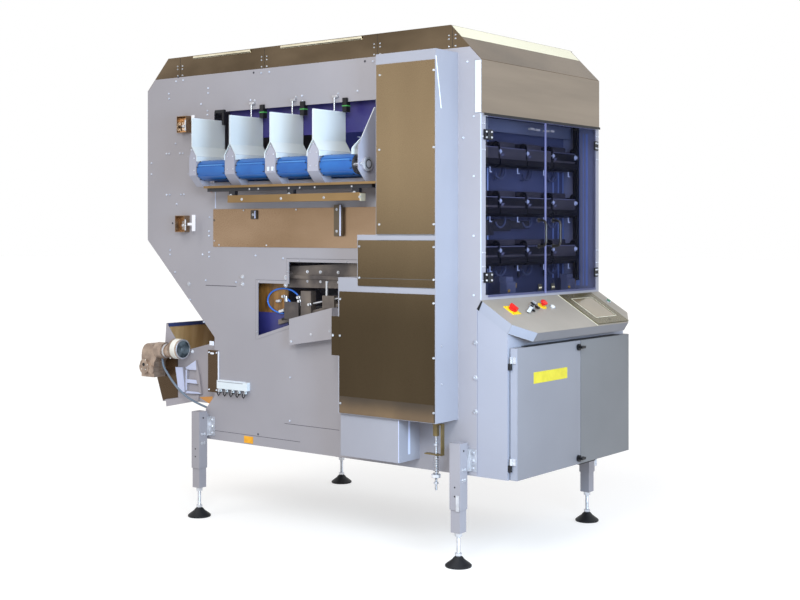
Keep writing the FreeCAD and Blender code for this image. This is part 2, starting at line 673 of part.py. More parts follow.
def lane_troughs():
    troughs, bed = [], "bed_top - sheet"
    for i in range(LANES):
        left, right = lane_y(i) + " - 2", lane_y(i + 1) + " + 2"
        body = new_body("trough_%d" % (i + 1))
        pad(body, "trough_pad_%d" % i, "YZ_Plane", minus(LANE_OUT), "lane_reach + lane_back", [[
            (left, LANE_TOP), (left, LANE_BEND), (left + " - lane_slant", LANE_LOW),
            (left + " - lane_slant", bed), (right + " + lane_slant", bed),
            (right + " + lane_slant", LANE_LOW), (right, LANE_BEND), (right, LANE_TOP),
            (right + " + sheet", LANE_TOP), (right + " + sheet", LANE_BEND),
            (right + " + lane_slant + sheet", LANE_LOW),
            (right + " + lane_slant + sheet", bed + " + sheet"),
            (left + " - lane_slant - sheet", bed + " + sheet"),
            (left + " - lane_slant - sheet", LANE_LOW), (left + " - sheet", LANE_BEND),
            (left + " - sheet", LANE_TOP)]])
        gap = [rectangle(left + " - lane_slant - sheet", right + " + lane_slant + sheet",
                         bed + " - 1", "bed_top + belt_thick + cleat_high + 1")]
        pocket(body, "trough_gap_%d" % i, "YZ_Plane", minus(LANE_OUT) + " - 1",
               "roller_set + roller_radius", gap)
        if i == LANES - 1:
            pocket(body, "trough_corner", "XZ_Plane", minus(right) + " - lane_slant - sheet - 1",
                   "lane_slant + sheet + 2", [[
                       (minus(LANE_OUT) + " - 1", LANE_LOW + " + 11"),
                       (minus(LANE_OUT) + " - 1", LANE_TOP + " + 1"),
                       (minus(LANE_OUT) + " + 128", LANE_TOP + " + 1"),
                       (minus(LANE_OUT), LANE_LOW + " + 11")]])
        troughs.append(body)
    keep("lane_troughs", group("lane_troughs", troughs))


def post_side(back):
    """Side view of a lane post: upright front, slanted chin and flat foot."""
    front, low = minus(LANE_OUT) + " + sheet", "bed_top - post_drop"
    return [(front, LANE_LOW + " - 4"), (front, low), (front + " + 55", BEAM_TOP),
            (back, BEAM_TOP), (back, LANE_LOW + " - 4")]


def lane_posts():
    back = minus(ROLLER_X) + " + 50"
    pieces, bores = [], []
    for i in range(LANES):
        y, half = lane_y(i), "lane_slant - 2"
        high = "19" if i == 0 else half
        body = new_body("post_%d" % i)
        wide = high + " + " + half
        pad(body, "post_pad_%d" % i, "XZ_Plane", minus(y) + " - " + high, wide, [post_side(back)])
        pocket(body, "post_hollow_%d" % i, "XZ_Plane", minus(y) + " - " + high + " + sheet",
               wide + " - sheet * 2", [[
                   (minus(LANE_OUT) + " + sheet * 2", LANE_LOW),
                   (minus(LANE_OUT) + " + sheet * 2", "bed_top - post_drop + 1.5"),
                   (minus(LANE_OUT) + " + sheet + 56.5", BEAM_TOP + " + sheet"),
                   (back + " + 1", BEAM_TOP + " + sheet"), (back + " + 1", LANE_LOW)]])
        peak = plate("post_peak_%d" % i, "YZ_Plane", minus(LANE_OUT) + " + sheet", "sheet", [[
            (y + " - " + half, LANE_LOW + " - 5"), (plus(y, high), LANE_LOW + " - 5"),
            (y, LANE_BEND + " - 10")]])
        pieces += [body, peak]
    last = LANES_END + " + 2"
    front = minus(LANE_OUT)
    end = plate("post_end", "XZ_Plane", minus(last), "sheet", [[
        (front, LANE_LOW + " + 11"), (front, "bed_top - post_drop + 1"), (front + " + 55", BEAM_TOP),
        (minus(LANE_IN), BEAM_TOP), (minus(LANE_IN), LANE_TOP), (front + " + 128", LANE_TOP)]])
    bearing = rod("end_bearing", "Y", minus(ROLLER_X), last + " - sheet - bearing_thick", ROLLER_Z,
                  "bearing_radius", "bearing_thick")
    apron = block("lane_apron", back, back + " + sheet", last + " - 1", "lane_first + 19",
                  BEAM_TOP, BELT_LOW + " - 7")
    bore = rod("post_bore", "Y", minus(ROLLER_X), LANES_END + " - 60", ROLLER_Z,
               "shaft_radius + 0.6", "lane_pitch * %d + 140" % LANES, 16)
    keep("lane_posts", cut("lane_posts_bored", fuse("lane_posts_all", pieces + [end, bearing, apron]),
                           [bore]))


def belt_cleats(i, low):
    """Flat ribs across a belt, on its upper run, round the head and on its lower run."""
    ribs, reach = [], number("roller_radius + belt_thick")
    step = number("cleat_pitch") / reach
    turns = [k * step for k in (-1.5, -0.5, 0.5, 1.5) if abs(k * step) < math.pi / 2]
    for k, turn in enumerate(turns):
        rib = doc.addObject("Part::Box", "cleat_round_%d_%d" % (i, k))
        rib.setExpression("Length", "sizes.cleat_high + sizes.cleat_root")
        rib.setExpression("Width", "sizes.belt_width")
        rib.setExpression("Height", "sizes.cleat_wide")
        spin = FreeCAD.Rotation(FreeCAD.Vector(0, 1, 0), math.degrees(turn))
        out = spin.multVec(FreeCAD.Vector(
            -reach - number("cleat_high"), 0, -number("cleat_wide") / 2))
        ribs.append(place(rib, plus(minus(ROLLER_X), "%.4f" % out.x), low,
                          plus(ROLLER_Z, "%.4f" % out.z), spin))
    for level, bottom in enumerate(("bed_top + belt_thick - 1", BELT_LOW)):
        for k in range(int(number("belt_long") / number("cleat_pitch"))):
            x = minus(ROLLER_X) + " + cleat_pitch * %.1f" % (k + 0.5)
            ribs.append(block("cleat_%d_%d_%d" % (i, level, k), x, x + " + cleat_wide", low,
                              low + " + belt_width", bottom, bottom + " + cleat_high + 1"))
    return ribs


def lane_drive():
    head, tail = minus(ROLLER_X), minus(ROLLER_X) + " + belt_long"
    pieces = [rod("drive_shaft", "Y", head, LANES_END + " + 2 - sheet - bearing_thick - 6", ROLLER_Z,
                  "shaft_radius", "lane_pitch * %d + 2 + sheet + bearing_thick + 20" % LANES)]
    belts, face = [], "roller_radius + belt_thick"
    for i in range(LANES):
        low = lane_y(i) + " - lane_pitch / 2 - belt_width / 2"
        high = low + " + belt_width"
        pieces.append(rod("roller_%d" % i, "Y", head, low, ROLLER_Z, "roller_radius", "belt_width"))
        outer = [rod("belt_head_%d" % i, "Y", head, low, ROLLER_Z, face, "belt_width"),
                 rod("belt_tail_%d" % i, "Y", tail, low, ROLLER_Z, face, "belt_width"),
                 block("belt_run_%d" % i, head, tail, low, high,
                       ROLLER_Z + " - roller_radius - belt_thick", "bed_top + belt_thick")]
        inner = [rod("belt_in_head_%d" % i, "Y", head, low + " - 1", ROLLER_Z, "roller_radius",
                     "belt_width + 2"),
                 rod("belt_in_tail_%d" % i, "Y", tail, low + " - 1", ROLLER_Z, "roller_radius",
                     "belt_width + 2"),
                 block("belt_in_run_%d" % i, head, tail, low + " - 1", high + " + 1",
                       ROLLER_Z + " - roller_radius", "bed_top")]
        belts.append(cut("belt_%d" % i, fuse("belt_outer_%d" % i, outer + belt_cleats(i, low)),
                         inner))
    keep("lane_drive_shaft", fuse("lane_drive_shaft", pieces))
    keep("lane_belts", group("lane_belts", belts))


def lane_beams():
    out, front = minus(LANE_OUT), "-column_middle"
    under = BEAM_TOP + " - beam_thick"
    shelf = block("lane_shelf", out + " + 20", "-body_half", front + " - 100", "lane_first - 74",
                  under, BEAM_TOP)
    low = under + " - rail_high"
    rail = block("rail_bar", out + " + 40", out + " + 70", front + " - 60", "lane_first - 82",
                 low, under)
    top = low + " - hanger_gap"
    hangers = []
    for i, y in enumerate(("lane_first - 262", "lane_first - 677", "lane_first - 1107")):
        hangers.append(block("hanger_%d" % i, out + " + 44", out + " + 66", y + " - 22",
                             y + " + 22", top, low + " + 1"))
    keep("sensor_rail", fuse("sensor_rail", [rail] + hangers))
    channel = cut("drip_channel", block(
        "channel_outer", out + " + 30", out + " + 80", "-358", "lane_first - 244",
        top + " - channel_high", top), [block(
            "channel_inner", out + " + 32", out + " + 81", "-359", "lane_first - 243",
            top + " - channel_high + thin", top + " - thin")])
    keep("lane_shelf_and_channel", group("lane_shelf_and_channel", [shelf, channel]))


# Panels and small fittings on the lane side
def lane_side_fittings():
    out = "-body_half - thin"
    strip = block("guard_strip", out, "-body_half", "back_step - 29", "back_step + 49",
                  "step_low + 20", "step_low + 250")
    skin = plate("hopper_skin", "YZ_Plane", minus(HOPPER_HALF) + " - thin", "thin", [[
        (HOPPER_BACK + " - 98", "hopper_low + 12"), (HOPPER_BACK + " - 2", "hopper_low - 4"),
        (HOPPER_BACK + " + 26", "hopper_low - 14"), (HOPPER_BACK + " + 74", "hopper_low + 112"),
        (HOPPER_BACK + " + 8", "hopper_low + 300"), (HOPPER_BACK + " - 98", "hopper_low + 262")]])
    boxes = [cut("sensor_box_%d" % i, block("sensor_out_%d" % i, "-body_half - 40", "-body_half",
                                            y, y + " + 76", z, z + " + 92"),
                 [block("sensor_in_%d" % i, "-body_half - 41", "-body_half - 3", y + " + 3",
                        y + " + 73", z + " + 3", z + " + 89")])
             for i, (y, z) in enumerate((("lane_first + 193", LANE_TOP + " - 58"),
                                         ("lane_first + 207", "infeed_low + 80")))]
    keep("side_panels", group("side_panels", [
        block("infeed_panel", out, "-body_half", "-column_middle + 10", "lane_first + 18",
              "infeed_low", "infeed_low + infeed_high"), strip, skin] + boxes))
    keep("far_window", block("far_window", "body_half - sheet", "body_half", *WINDOW))
    bar = block("nozzle_back", "-body_half - 22", "-body_half", "back_step - 269",
                "back_step - 40", "step_low + 47", "step_low + 91")
    nozzles = []
    for i in range(5):
        y = "back_step - 60 - 47 * %d" % i
        nozzles.append(rod("nozzle_%d" % i, "Z", "-body_half - 12", y, "step_low + 30", "8", "18", 12))
    keep("nozzle_bar", fuse("nozzle_bar", [bar] + nozzles))


def chute_cover():
    """Folded plate with a sloping head over the lower end of the service opening."""
    body = new_body("chute_cover")
    front, back = "-chute_front", "chute_back"
    top, fall = "chute_top", "chute_top - chute_fall"
    outline = [(front, top), (back, fall), (back, fall + " - chute_high + 22"),
               (front, top + " - chute_high")]
    pad(body, "chute_pad", "YZ_Plane", "-body_half - thin - chute_stand", "chute_stand",
        [outline])
    pocket(body, "chute_hollow", "YZ_Plane", "-body_half - chute_stand", "chute_stand + 1", [[
        (front + " + thin", top + " + 20"), (back + " - thin", fall + " + 20"),
        (back + " - thin", fall + " - chute_high + 24"),
        (front + " + thin", top + " - chute_high + thin")]])
    keep("chute_cover", body)


def tension_rod():
    x, y = minus(COLUMN_OUT) + " + 82", minus(COLUMN_FRONT) + " + 57"
    low = "frame_low - 40"
    keep("tension_rod", fuse("tension_rod", [
        rod("tension_bar", "Z", x, y, low, "6", "column_low - frame_low + 40", 12),
        rod("tension_spring", "Z", x, y, low + " + 65", "14", "80", 16),
        rod("tension_knob", "Z", x, y, low + " + 50", "22", "15", 16),
        block("tension_ear", x + " - 9", x + " + 9", y + " - 12", y + " + 12",
              "column_low - 70", "column_low")]))


# Sorting conveyor behind the service opening: side rail, sloping track, cylinders and tie bars
def sorting_unit():
    side, deep = minus(LANE_IN) + " - 25", "rail_thick"
    high, low = OPENING_TURN, "opening_low"
    upper = plate("sorter_rail", "YZ_Plane", side, deep, [[
        ("opening_step + 45", high + " + 90"), ("-opening_front - 78", high + " + 118"),
        ("-opening_front - 78", high + " - 14"), ("opening_step + 45", high + " - 20")]])
    shelf = block("sorter_step", side + " - 12", side, "-opening_front - 78", "opening_step + 45",
                  high + " + 28", high + " + 46")
    track = plate("sorter_track", "YZ_Plane", side, "rail_thick - 10", [[
        ("opening_back - 110", low + " + 88"), ("-opening_front - 78", low + " + 245"),
        ("-opening_front - 78", low + " + 220"), ("opening_back - 110", low + " + 62")]])
    pieces = [upper, shelf, track]
    for i, (y0, y1, z0, z1) in enumerate((("205", "305", "95", "185"), ("118", "188", "115", "245"),
                                          ("-40", "40", "160", "225"))):
        pieces.append(block("sorter_cylinder_%d" % i, side + " - 10", side + " + 30", y0, y1,
                            low + " + " + z0, low + " + " + z1))
    pieces.append(block("sorter_post", side + " + 5", side + " + 30", "-opening_front - 70",
                        "-opening_front - 40", low + " + 215", high + " - 10"))
    wall = "-body_half + sheet"
    for i, (x, y, z, radius) in enumerate((
            (wall, "-opening_front - 45", high + " + 60", "tie_radius"),
            (wall, "opening_step + 25", high + " + 50", "tie_radius"),
            (wall, "-opening_front - 45", low + " + 230", "tie_radius / 2"),
            (side + " + 5", "opening_step + 100", low + " + 77", "tie_radius / 2"))):
        pieces.append(rod("sorter_tie_%d" % i, "X", x, y, z, radius,
                          plus("body_half - sheet", minus(x)), 12))
    keep("sorting_unit", fuse("sorting_unit", pieces))


# Frame tubes, rear cover, legs and feet
def tube(name, x0, x1, y0, y1, z0, z1, along):
    outer = block(name + "_outer", x0, x1, y0, y1, z0, z1)
    ends = {"X": ("-1", "1", "sheet", "-sheet"), "Y": ("sheet", "-sheet", "-1", "1")}[along]
    inner = block(name + "_inner", x0 + " + " + ends[0], x1 + " + " + ends[1],
                  y0 + " + " + ends[2], y1 + " + " + ends[3], z0 + " + sheet", z1 + " - sheet")
    return cut(name, outer, [inner])


def frame():
    side0, side1 = "-body_half + sheet", "body_half - sheet"
    front, back = "-body_front + %s" % LIP_Y, "back_low"
    pieces = [
        tube("tube_front", side0, side1, front, front + " + 40", "frame_low", "frame_low + 60", "X"),
        tube("tube_back", side0, side1, back + " - 40", back, "frame_low", "frame_low + 60", "X"),
        tube("tube_left", side0, side0 + " + 40", front + " + 40", back + " - 40", "frame_low",
             "frame_low + 60", "Y"),
        tube("tube_right", side1 + " - 40", side1, front + " + 40", back + " - 40", "frame_low",
             "frame_low + 60", "Y")]
    beam = tube("rear_beam", side0, side1, "back_step - 60", "back_step", "hopper_low - 40",
                "hopper_low", "X")
    keep("base_frame", group("base_frame", [fuse("base_ring", pieces), beam]))


def inner_panel():
    """Partition that closes the weighing compartment at the back and carries its heads."""
    keep("inner_panel", block("inner_panel", "-body_half + sheet", "body_half - sheet",
                              minus(INNER_FACE), minus(INNER_FACE) + " + thin", "sill",
                              "plate_top - corner_cut"))


def rear_cover():
    keep("rear_cover", plate("rear_cover", "YZ_Plane", "-body_half + sheet",
                             "body_half * 2 - sheet * 2", [[
        ("body_back", "plate_top - corner_cut"), ("body_back", "back_turn"),
        ("back_step", "step_top"), ("back_step - thin", "step_top"),
        ("body_back - thin", "back_turn + thin"), ("body_back - thin",
                                                   "plate_top - corner_cut")]]))


CORNERS = [(a, b) for a in ("-", "") for b in ("-", "")]


def legs_and_feet():
    legs, feet = [], []
    for i, (a, b) in enumerate(CORNERS):
        x, y = FOOT_X if a == "" else minus(FOOT_X), b + "foot_y"
        tag = str(i)
        half = "leg_side / 2"
        outer = block("leg_outer_" + tag, x + " - " + half, x + " + " + half, y + " - " + half,
                      y + " + " + half, "leg_low", "leg_top")
        wide = "shank_side / 2"
        shank = block("leg_shank_" + tag, x + " - " + wide, x + " + " + wide, y + " - " + wide,
                      y + " + " + wide, "shank_low", "leg_low + 20")
        wide += " - leg_wall"
        core = block("leg_core_" + tag, plus(x, minus(wide)), x + " + " + wide,
                     plus(y, minus(wide)), y + " + " + wide, "shank_low + 8", "leg_top - 4")
        seat0, seat1 = span(-1 if a else 1, "body_half", "body_half + leg_gap")
        seat = block("leg_seat_" + tag, seat0, seat1, y + " - 25", y + " + 25",
                     "frame_low + 20", "leg_top - 15")
        legs.append(fuse("leg_" + tag, [cut("leg_tube_" + tag, fuse("leg_solid_" + tag,
                                        [outer, shank]), [core]), seat]))
        feet.append(turned("foot_" + tag, x, y, [
            ("0", "0"), ("pad_radius", "0"), ("pad_radius", "pad_edge"),
            ("stem_radius", "pad_edge + 34"),
            ("stem_radius", "shank_low"), ("0", "shank_low")]))
    keep("legs", group("legs", legs))
    keep("levelling_feet", group("levelling_feet", feet))


# Rear hopper with its gearmotor and cable
def rear_hopper():
    body = new_body("rear_hopper")
    front, back, low, high = "back_step - 15", HOPPER_BACK, "hopper_low", "hopper_top"
    side = [(front, low), (front, high + " - 72"), (front + " + 90", high), (back, high),
            (back + " + 12", high + " - 132"), (back + " + 78", low + " + 113"),
            (back + " + 29", low + " - 20"), (back + " - 98", low)]
    pad(body, "hopper_pad", "YZ_Plane", minus(HOPPER_HALF), HOPPER_HALF + " + " + HOPPER_HALF,
        [side])
    pocket(body, "hopper_hollow", "YZ_Plane", minus(HOPPER_HALF) + " + thin",
           HOPPER_HALF + " + " + HOPPER_HALF + " - thin * 2", [[
               (front + " + thin", low + " + thin"), (front + " + thin", high + " - 74"),
               (front + " + 90", high + " + 5"), (back + " - thin", high + " + 5"),
               (back + " - thin", high), (back + " + 10", high + " - 132"),
               (back + " + 76", low + " + 113"), (back + " + 27", low + " - 17"),
               (back + " - 98", low + " + thin")]])
    pocket(body, "hopper_notch", "YZ_Plane", minus(HOPPER_HALF) + " - 1", "thin + 2", [[
        (front + " - 5", high + " - 57"), (back + " - 349", high + " - 103"),
        (back + " - 188", high + " - 142"), (back + " - 74", high + " - 81"),
        (back + " - 3", high + " + 1"), (front + " + 90", high + " + 1")]])
    side = minus(HOPPER_HALF) + " - 12"
    pad(body, "hopper_bracket", "YZ_Plane", side, "12", [
        [(back + " - 173", low + " + 188"), (back + " - 257", low + " + 234"),
         (back + " - 282", low + " + 160"), (back + " - 303", low + " + 48"),
         (back + " - 166", low + " + 42")],
        rectangle(back + " - 262", back + " - 186", low + " + 125", low + " + 178"),
        rectangle(back + " - 280", back + " - 186", low + " + 58", low + " + 102")])
    pad(body, "hopper_rail", "YZ_Plane", minus(HOPPER_HALF) + " - 22", "22", [[
        (back + " - 100", low + " + 187"), (back + " - 160", low + " + 190"),
        (back + " - 178", low + " + 50"), (back + " - 126", low + " + 56")]])
    pad(body, "hopper_lip", "YZ_Plane", minus(HOPPER_HALF) + " - 8", "8", [[
        (back + " - 4", low + " - 8"),
        (back + " - 8", low + " - 46"), (back + " - 275", low + " + 8"),
        (back + " - 275", low + " + 40")]])
    keep("rear_hopper", body)


def gearmotor():
    """Shaft-mounted gear case with a flanged motor that lies along the hopper's side."""
    axis = minus(HOPPER_HALF) + " - 60"
    back, high = GEAR_BACK, "motor_high - 15"
    case0, case1 = minus(HOPPER_HALF) + " - gear_wide", minus(HOPPER_HALF) + " - thin"
    keep("gearmotor", fuse("gearmotor", [
        block("gear_case", case0 + " + 12", case1, back + " - 112", back + " - 6",
              high + " - 155", high + " - 30"),
        rod("gear_crown", "X", case0 + " + 12", back + " - 70", high + " - 24", "62",
            "gear_wide - 12 - thin"),
        rod("gear_boss_big", "X", case0, back + " - 38", high + " - 100", "38",
            "gear_wide - thin"),
        rod("gear_boss_small", "X", case0 + " + 4", back + " - 92", high + " - 112", "24",
            "gear_wide - 4 - thin"),
        rod("motor_flange", "Y", axis, back + " - 182", high, "46", "60"),
        rod("motor_collar", "Y", axis, back + " - 205", high, "40", "24"),
        rod("motor_barrel", "Y", axis, back + " - 262", high, "36", "60"),
        rod("motor_fan_cover", "Y", axis, back + " - 322", "motor_high", "motor_radius", "62")]))


# Sheathed cable from the gear case down to a gland in the rear beam
def motor_cable():
    """It leaves the flange of the motor downwards and runs forward inside the side plate."""
    x, y, z = minus(HOPPER_HALF) + " - 60", GEAR_BACK, "motor_high - 61"
    in_x, low = minus(HOPPER_HALF) + " - 65", "hopper_low - 20"
    item = bent_bar("motor_cable", [
        (x, y + " - 152", z), (x, y + " - 152", z + " - 36"), (x, y + " - 196", z + " - 86"),
        (x, y + " - 252", z + " - 141"), (x, y + " - 306", z + " - 178"),
        (x, y + " - 358", z + " - 207"), (x, y + " - 436", low + " + 24"),
        (in_x, y + " - 516", low + " + 8"), (in_x, "back_step + 33", low),
        (in_x, "back_step", low)], "cable_radius")
    keep("motor_cable", item)


# Weighing heads: three rows of long buckets between round-topped brackets on the partition
ROWS, UNITS = 3, 4


def weigh_heads():
    pieces, ends = [], []
    front, back = minus(ROW_FACE), minus(INNER_FACE)
    for r in range(ROWS):
        low = "sill + row_low + row_pitch * %d" % r
        high = low + " + row_high"
        for c in range(UNITS):
            x = "unit_pitch * %d + unit_gap / 2" % (c - UNITS // 2)
            pieces.append(plate("weigh_bucket_%d_%d" % (r, c), "YZ_Plane", x,
                                "unit_pitch - unit_gap", [[
                (front, high), (front, low + " + 40"), (front + " - 8", low + " + 40"),
                (front + " - 8", low + " + 14"), (front + " + 14", low),
                (back + " - 20", low), (back, low + " + 30"), (back, high)]]))
        head = [(front + " - 4", low + " + 30"), (back, low + " + 30"), (back, high + " + 8")]
        for turn in range(0, 181, 30):
            head.append((front + " + 16 + %.4f" % (20 * math.cos(math.radians(turn))),
                         high + " + 8 + %.4f" % (20 * math.sin(math.radians(turn)))))
        for c in range(UNITS + 1):
            bracket = plate("weigh_bracket_%d_%d" % (r, c), "YZ_Plane",
                            "unit_pitch * %d - 4" % (c - UNITS // 2), "8", [head])
            (ends if c == UNITS else pieces).append(bracket)
    post = block("weigh_post", "unit_pitch * 2 + 3", "unit_pitch * 2 + 26", front + " - 4",
                 front + " + 22", "sill + 60", "sill + row_low + row_pitch * 3 + 30")
    pieces.append(fuse("weigh_post_and_brackets", [post] + ends))
    keep("weigh_heads", group("weigh_heads", pieces))


side_plate("left")
side_plate("right")
hood()
front_fascia()
door_frame()
for way in SIDES:
    guard_door(*way)
guard_door_hinges()
guard_door_handles()
console()
console_controls()
touch_screen()
cabinet_shell()
cabinet_door("left")
cabinet_door("right")
lock_knob("lock_knob_low", LOCKS[0])
lock_knob("lock_knob_high", LOCKS[1])
cabinet_hinges()
column_cover()
column_panels()
lane_troughs()
lane_posts()
lane_drive()
lane_beams()
lane_side_fittings()
chute_cover()
tension_rod()
sorting_unit()
frame()
inner_panel()
rear_cover()
legs_and_feet()
rear_hopper()
gearmotor()
motor_cable()
weigh_heads()
doc.recompute()

for item in doc.Objects:
    if "Invalid" in item.State or "Error" in item.State:
        raise RuntimeError(item.Name + " did not build")
os.makedirs("parts", exist_ok=True)
for label, item in NODES.items():
    if item.Shape.isNull() or not item.Shape.isValid() or item.Shape.Volume <= 0:
        raise RuntimeError(label + " has no valid shape")
    item.Shape.exportStep("parts/%s.step" % label)
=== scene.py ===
import math
import bmesh
import bpy
from mathutils import Matrix, Vector


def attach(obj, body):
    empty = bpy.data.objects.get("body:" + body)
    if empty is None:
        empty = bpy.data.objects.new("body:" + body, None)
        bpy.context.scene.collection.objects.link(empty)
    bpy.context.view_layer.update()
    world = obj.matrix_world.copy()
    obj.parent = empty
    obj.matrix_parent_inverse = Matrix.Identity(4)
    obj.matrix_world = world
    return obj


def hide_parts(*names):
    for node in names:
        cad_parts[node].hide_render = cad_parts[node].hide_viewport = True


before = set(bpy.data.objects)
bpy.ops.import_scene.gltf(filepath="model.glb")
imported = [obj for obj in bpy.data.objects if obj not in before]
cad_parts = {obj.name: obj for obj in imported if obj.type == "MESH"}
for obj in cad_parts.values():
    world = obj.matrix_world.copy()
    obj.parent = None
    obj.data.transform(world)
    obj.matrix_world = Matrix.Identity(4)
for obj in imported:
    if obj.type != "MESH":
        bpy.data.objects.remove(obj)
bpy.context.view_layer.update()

scene = bpy.context.scene


# The camera stands at eye height, ahead of the machine and to its left, and looks level.
# Places in this file are millimetres from the middle of the four feet: the console faces -Y and
# the lanes come out on the -X side.
def at(x, y, z):
    return Vector((x + 36.25, y - 98.0, z)) / 1000


camera = bpy.data.objects.new("camera", bpy.data.cameras.new("camera"))
scene.collection.objects.link(camera)
scene.camera = camera
camera.location = at(-5513, -4334, 1560)
camera.rotation_euler = (math.radians(90), 0, math.radians(-52.2))
camera.data.lens = 58.1
camera.data.sensor_width = 36
camera.data.shift_y = -0.086


# The motor's cable: a grey-blue sheathed cable, 12 mm thick. It leaves the motor's flange
# downwards and runs forward inside the side plate to a hole in the rear beam.
def tone(red, green, blue):
    """A colour as it looks on a screen, 0 to 255, turned into the linear values of a shader."""
    line = [c / 255 for c in (red, green, blue)]
    return [c / 12.92 if c <= 0.04045 else ((c + 0.055) / 1.055) ** 2.4 for c in line] + [1.0]


def finish(name, dark, light, rough, cloud=2.5, grain=220.0, bump=0.05, stretch=(1, 1, 1),
           metal=0.0, specular=0.5, coat=0.0, low=None):
    """Surface with soft clouds between two tones, fine grain and uneven gloss.
    low is (height, height, share) and paints shade into the colour: at the first height,
    and on its side, the colour is scaled to that share; at the second, it is full."""
    material = bpy.data.materials.new(name)
    material.use_nodes = True
    tree = material.node_tree
    shader = tree.nodes["Principled BSDF"]
    shader.inputs["Metallic"].default_value = metal
    shader.inputs["Specular IOR Level"].default_value = specular
    shader.inputs["Coat Weight"].default_value = coat
    place = tree.nodes.new("ShaderNodeTexCoord")
    scale = tree.nodes.new("ShaderNodeMapping")
    scale.inputs["Scale"].default_value = stretch
    tree.links.new(place.outputs["Object"], scale.inputs["Vector"])
    clouds = tree.nodes.new("ShaderNodeTexNoise")
    clouds.inputs["Scale"].default_value = cloud
    clouds.inputs["Detail"].default_value = 5
    fine = tree.nodes.new("ShaderNodeTexNoise")
    fine.inputs["Scale"].default_value = grain
    fine.inputs["Detail"].default_value = 3
    for noise in (clouds, fine):
        tree.links.new(scale.outputs["Vector"], noise.inputs["Vector"])
    blend = tree.nodes.new("ShaderNodeValToRGB")
    blend.color_ramp.elements[0].position = 0.35
    blend.color_ramp.elements[0].color = tone(*dark)
    blend.color_ramp.elements[1].position = 0.65
    blend.color_ramp.elements[1].color = tone(*light)
    tree.links.new(clouds.outputs["Fac"], blend.inputs["Fac"])
    colour = blend.outputs["Color"]
    if low:
        split = tree.nodes.new("ShaderNodeSeparateXYZ")
        tree.links.new(place.outputs["Object"], split.inputs["Vector"])
        fade = tree.nodes.new("ShaderNodeMapRange")
        fade.interpolation_type = "SMOOTHSTEP"
        fade.inputs["From Min"].default_value = low[0]
        fade.inputs["From Max"].default_value = low[1]
        fade.inputs["To Min"].default_value = low[2]
        tree.links.new(split.outputs["Z"], fade.inputs["Value"])
        shade = tree.nodes.new("ShaderNodeVectorMath")
        shade.operation = "SCALE"
        tree.links.new(colour, shade.inputs[0])
        tree.links.new(fade.outputs["Result"], shade.inputs["Scale"])
        colour = shade.outputs["Vector"]
    tree.links.new(colour, shader.inputs["Base Color"])
    gloss = tree.nodes.new("ShaderNodeMapRange")
    gloss.inputs["To Min"].default_value = rough[0]
    gloss.inputs["To Max"].default_value = rough[1]
    tree.links.new(fine.outputs["Fac"], gloss.inputs["Value"])
    tree.links.new(gloss.outputs["Result"], shader.inputs["Roughness"])
    relief = tree.nodes.new("ShaderNodeBump")
    relief.inputs["Strength"].default_value = bump
    relief.inputs["Distance"].default_value = 0.001
    tree.links.new(fine.outputs["Fac"], relief.inputs["Height"])
    tree.links.new(relief.outputs["Normal"], shader.inputs["Normal"])
    return material


cable_sheath = finish("cable_sheath", (92, 108, 128), (120, 134, 150), (0.35, 0.5))
cable_route = [
    (-530, 1244, 836), (-530, 1244, 800), (-530, 1200, 750), (-530, 1144, 695), (-530, 1090, 658),
    (-530, 1038, 629), (-530, 960, 604), (-535, 880, 588), (-535, 830, 580), (-535, 797, 580)]
spline_data = bpy.data.curves.new("motor_cable_run", "CURVE")
spline_data.dimensions = "3D"
spline_data.bevel_depth = 0.006
spline_data.bevel_resolution = 4
spline_data.resolution_u = 12
spline = spline_data.splines.new("NURBS")
spline.points.add(len(cable_route) - 1)
for point, spot in zip(spline.points, cable_route):
    point.co = (*at(*spot), 1.0)
spline.order_u = 3
spline.use_endpoint_u = True
motor_cable = bpy.data.objects.new("motor_cable_run", spline_data)
scene.collection.objects.link(motor_cable)
motor_cable.data.materials.append(cable_sheath)
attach(motor_cable, "machine")
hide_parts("motor_cable")


# Base ring, legs and levelling feet: painted square tube with a telescoping shank, a threaded
# zinc stem with a lock nut, and a round pad with a black rubber tread.
def dress(material, *nodes):
    """Gives packed sub-parts their surface."""
    for node in nodes:
        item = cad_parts[node]
        if not item.material_slots:
            item.data.materials.append(material)
        for slot in item.material_slots:
            slot.material = material


def slab(mesh, corners, push, edge=0.0):
    """A flat outline pushed along a direction, its edges rounded off if asked."""
    push = Vector(push) / 1000
    low = [mesh.verts.new(at(*c)) for c in corners]
    high = [mesh.verts.new(v.co + push) for v in low]
    faces = [mesh.faces.new(low), mesh.faces.new(high)]
    for i in range(len(low)):
        j = (i + 1) % len(low)
        faces.append(mesh.faces.new((low[i], low[j], high[j], high[i])))
    bmesh.ops.recalc_face_normals(mesh, faces=faces)
    if edge:
        edges = list({e for f in faces for e in f.edges})
        bmesh.ops.bevel(mesh, geom=edges, offset=edge / 1000, segments=2, affect="EDGES",
                        clamp_overlap=True)


def brick(mesh, x, y, z, edge=0.0):
    """A block between two heights, two depths and two widths."""
    slab(mesh, [(x[0], y[0], z[0]), (x[1], y[0], z[0]), (x[1], y[1], z[0]), (x[0], y[1], z[0])],
         (0, 0, z[1] - z[0]), edge)


def across(way, near, far):
    """Two places at one side of the middle: way is -1 for the left and 1 for the right."""
    return sorted((near * way, far * way))


upwards, downwards = (0, 0, 1), (0, 0, -1)
to_front, to_back, to_lanes = (0, -1, 0), (0, 1, 0), (-1, 0, 0)


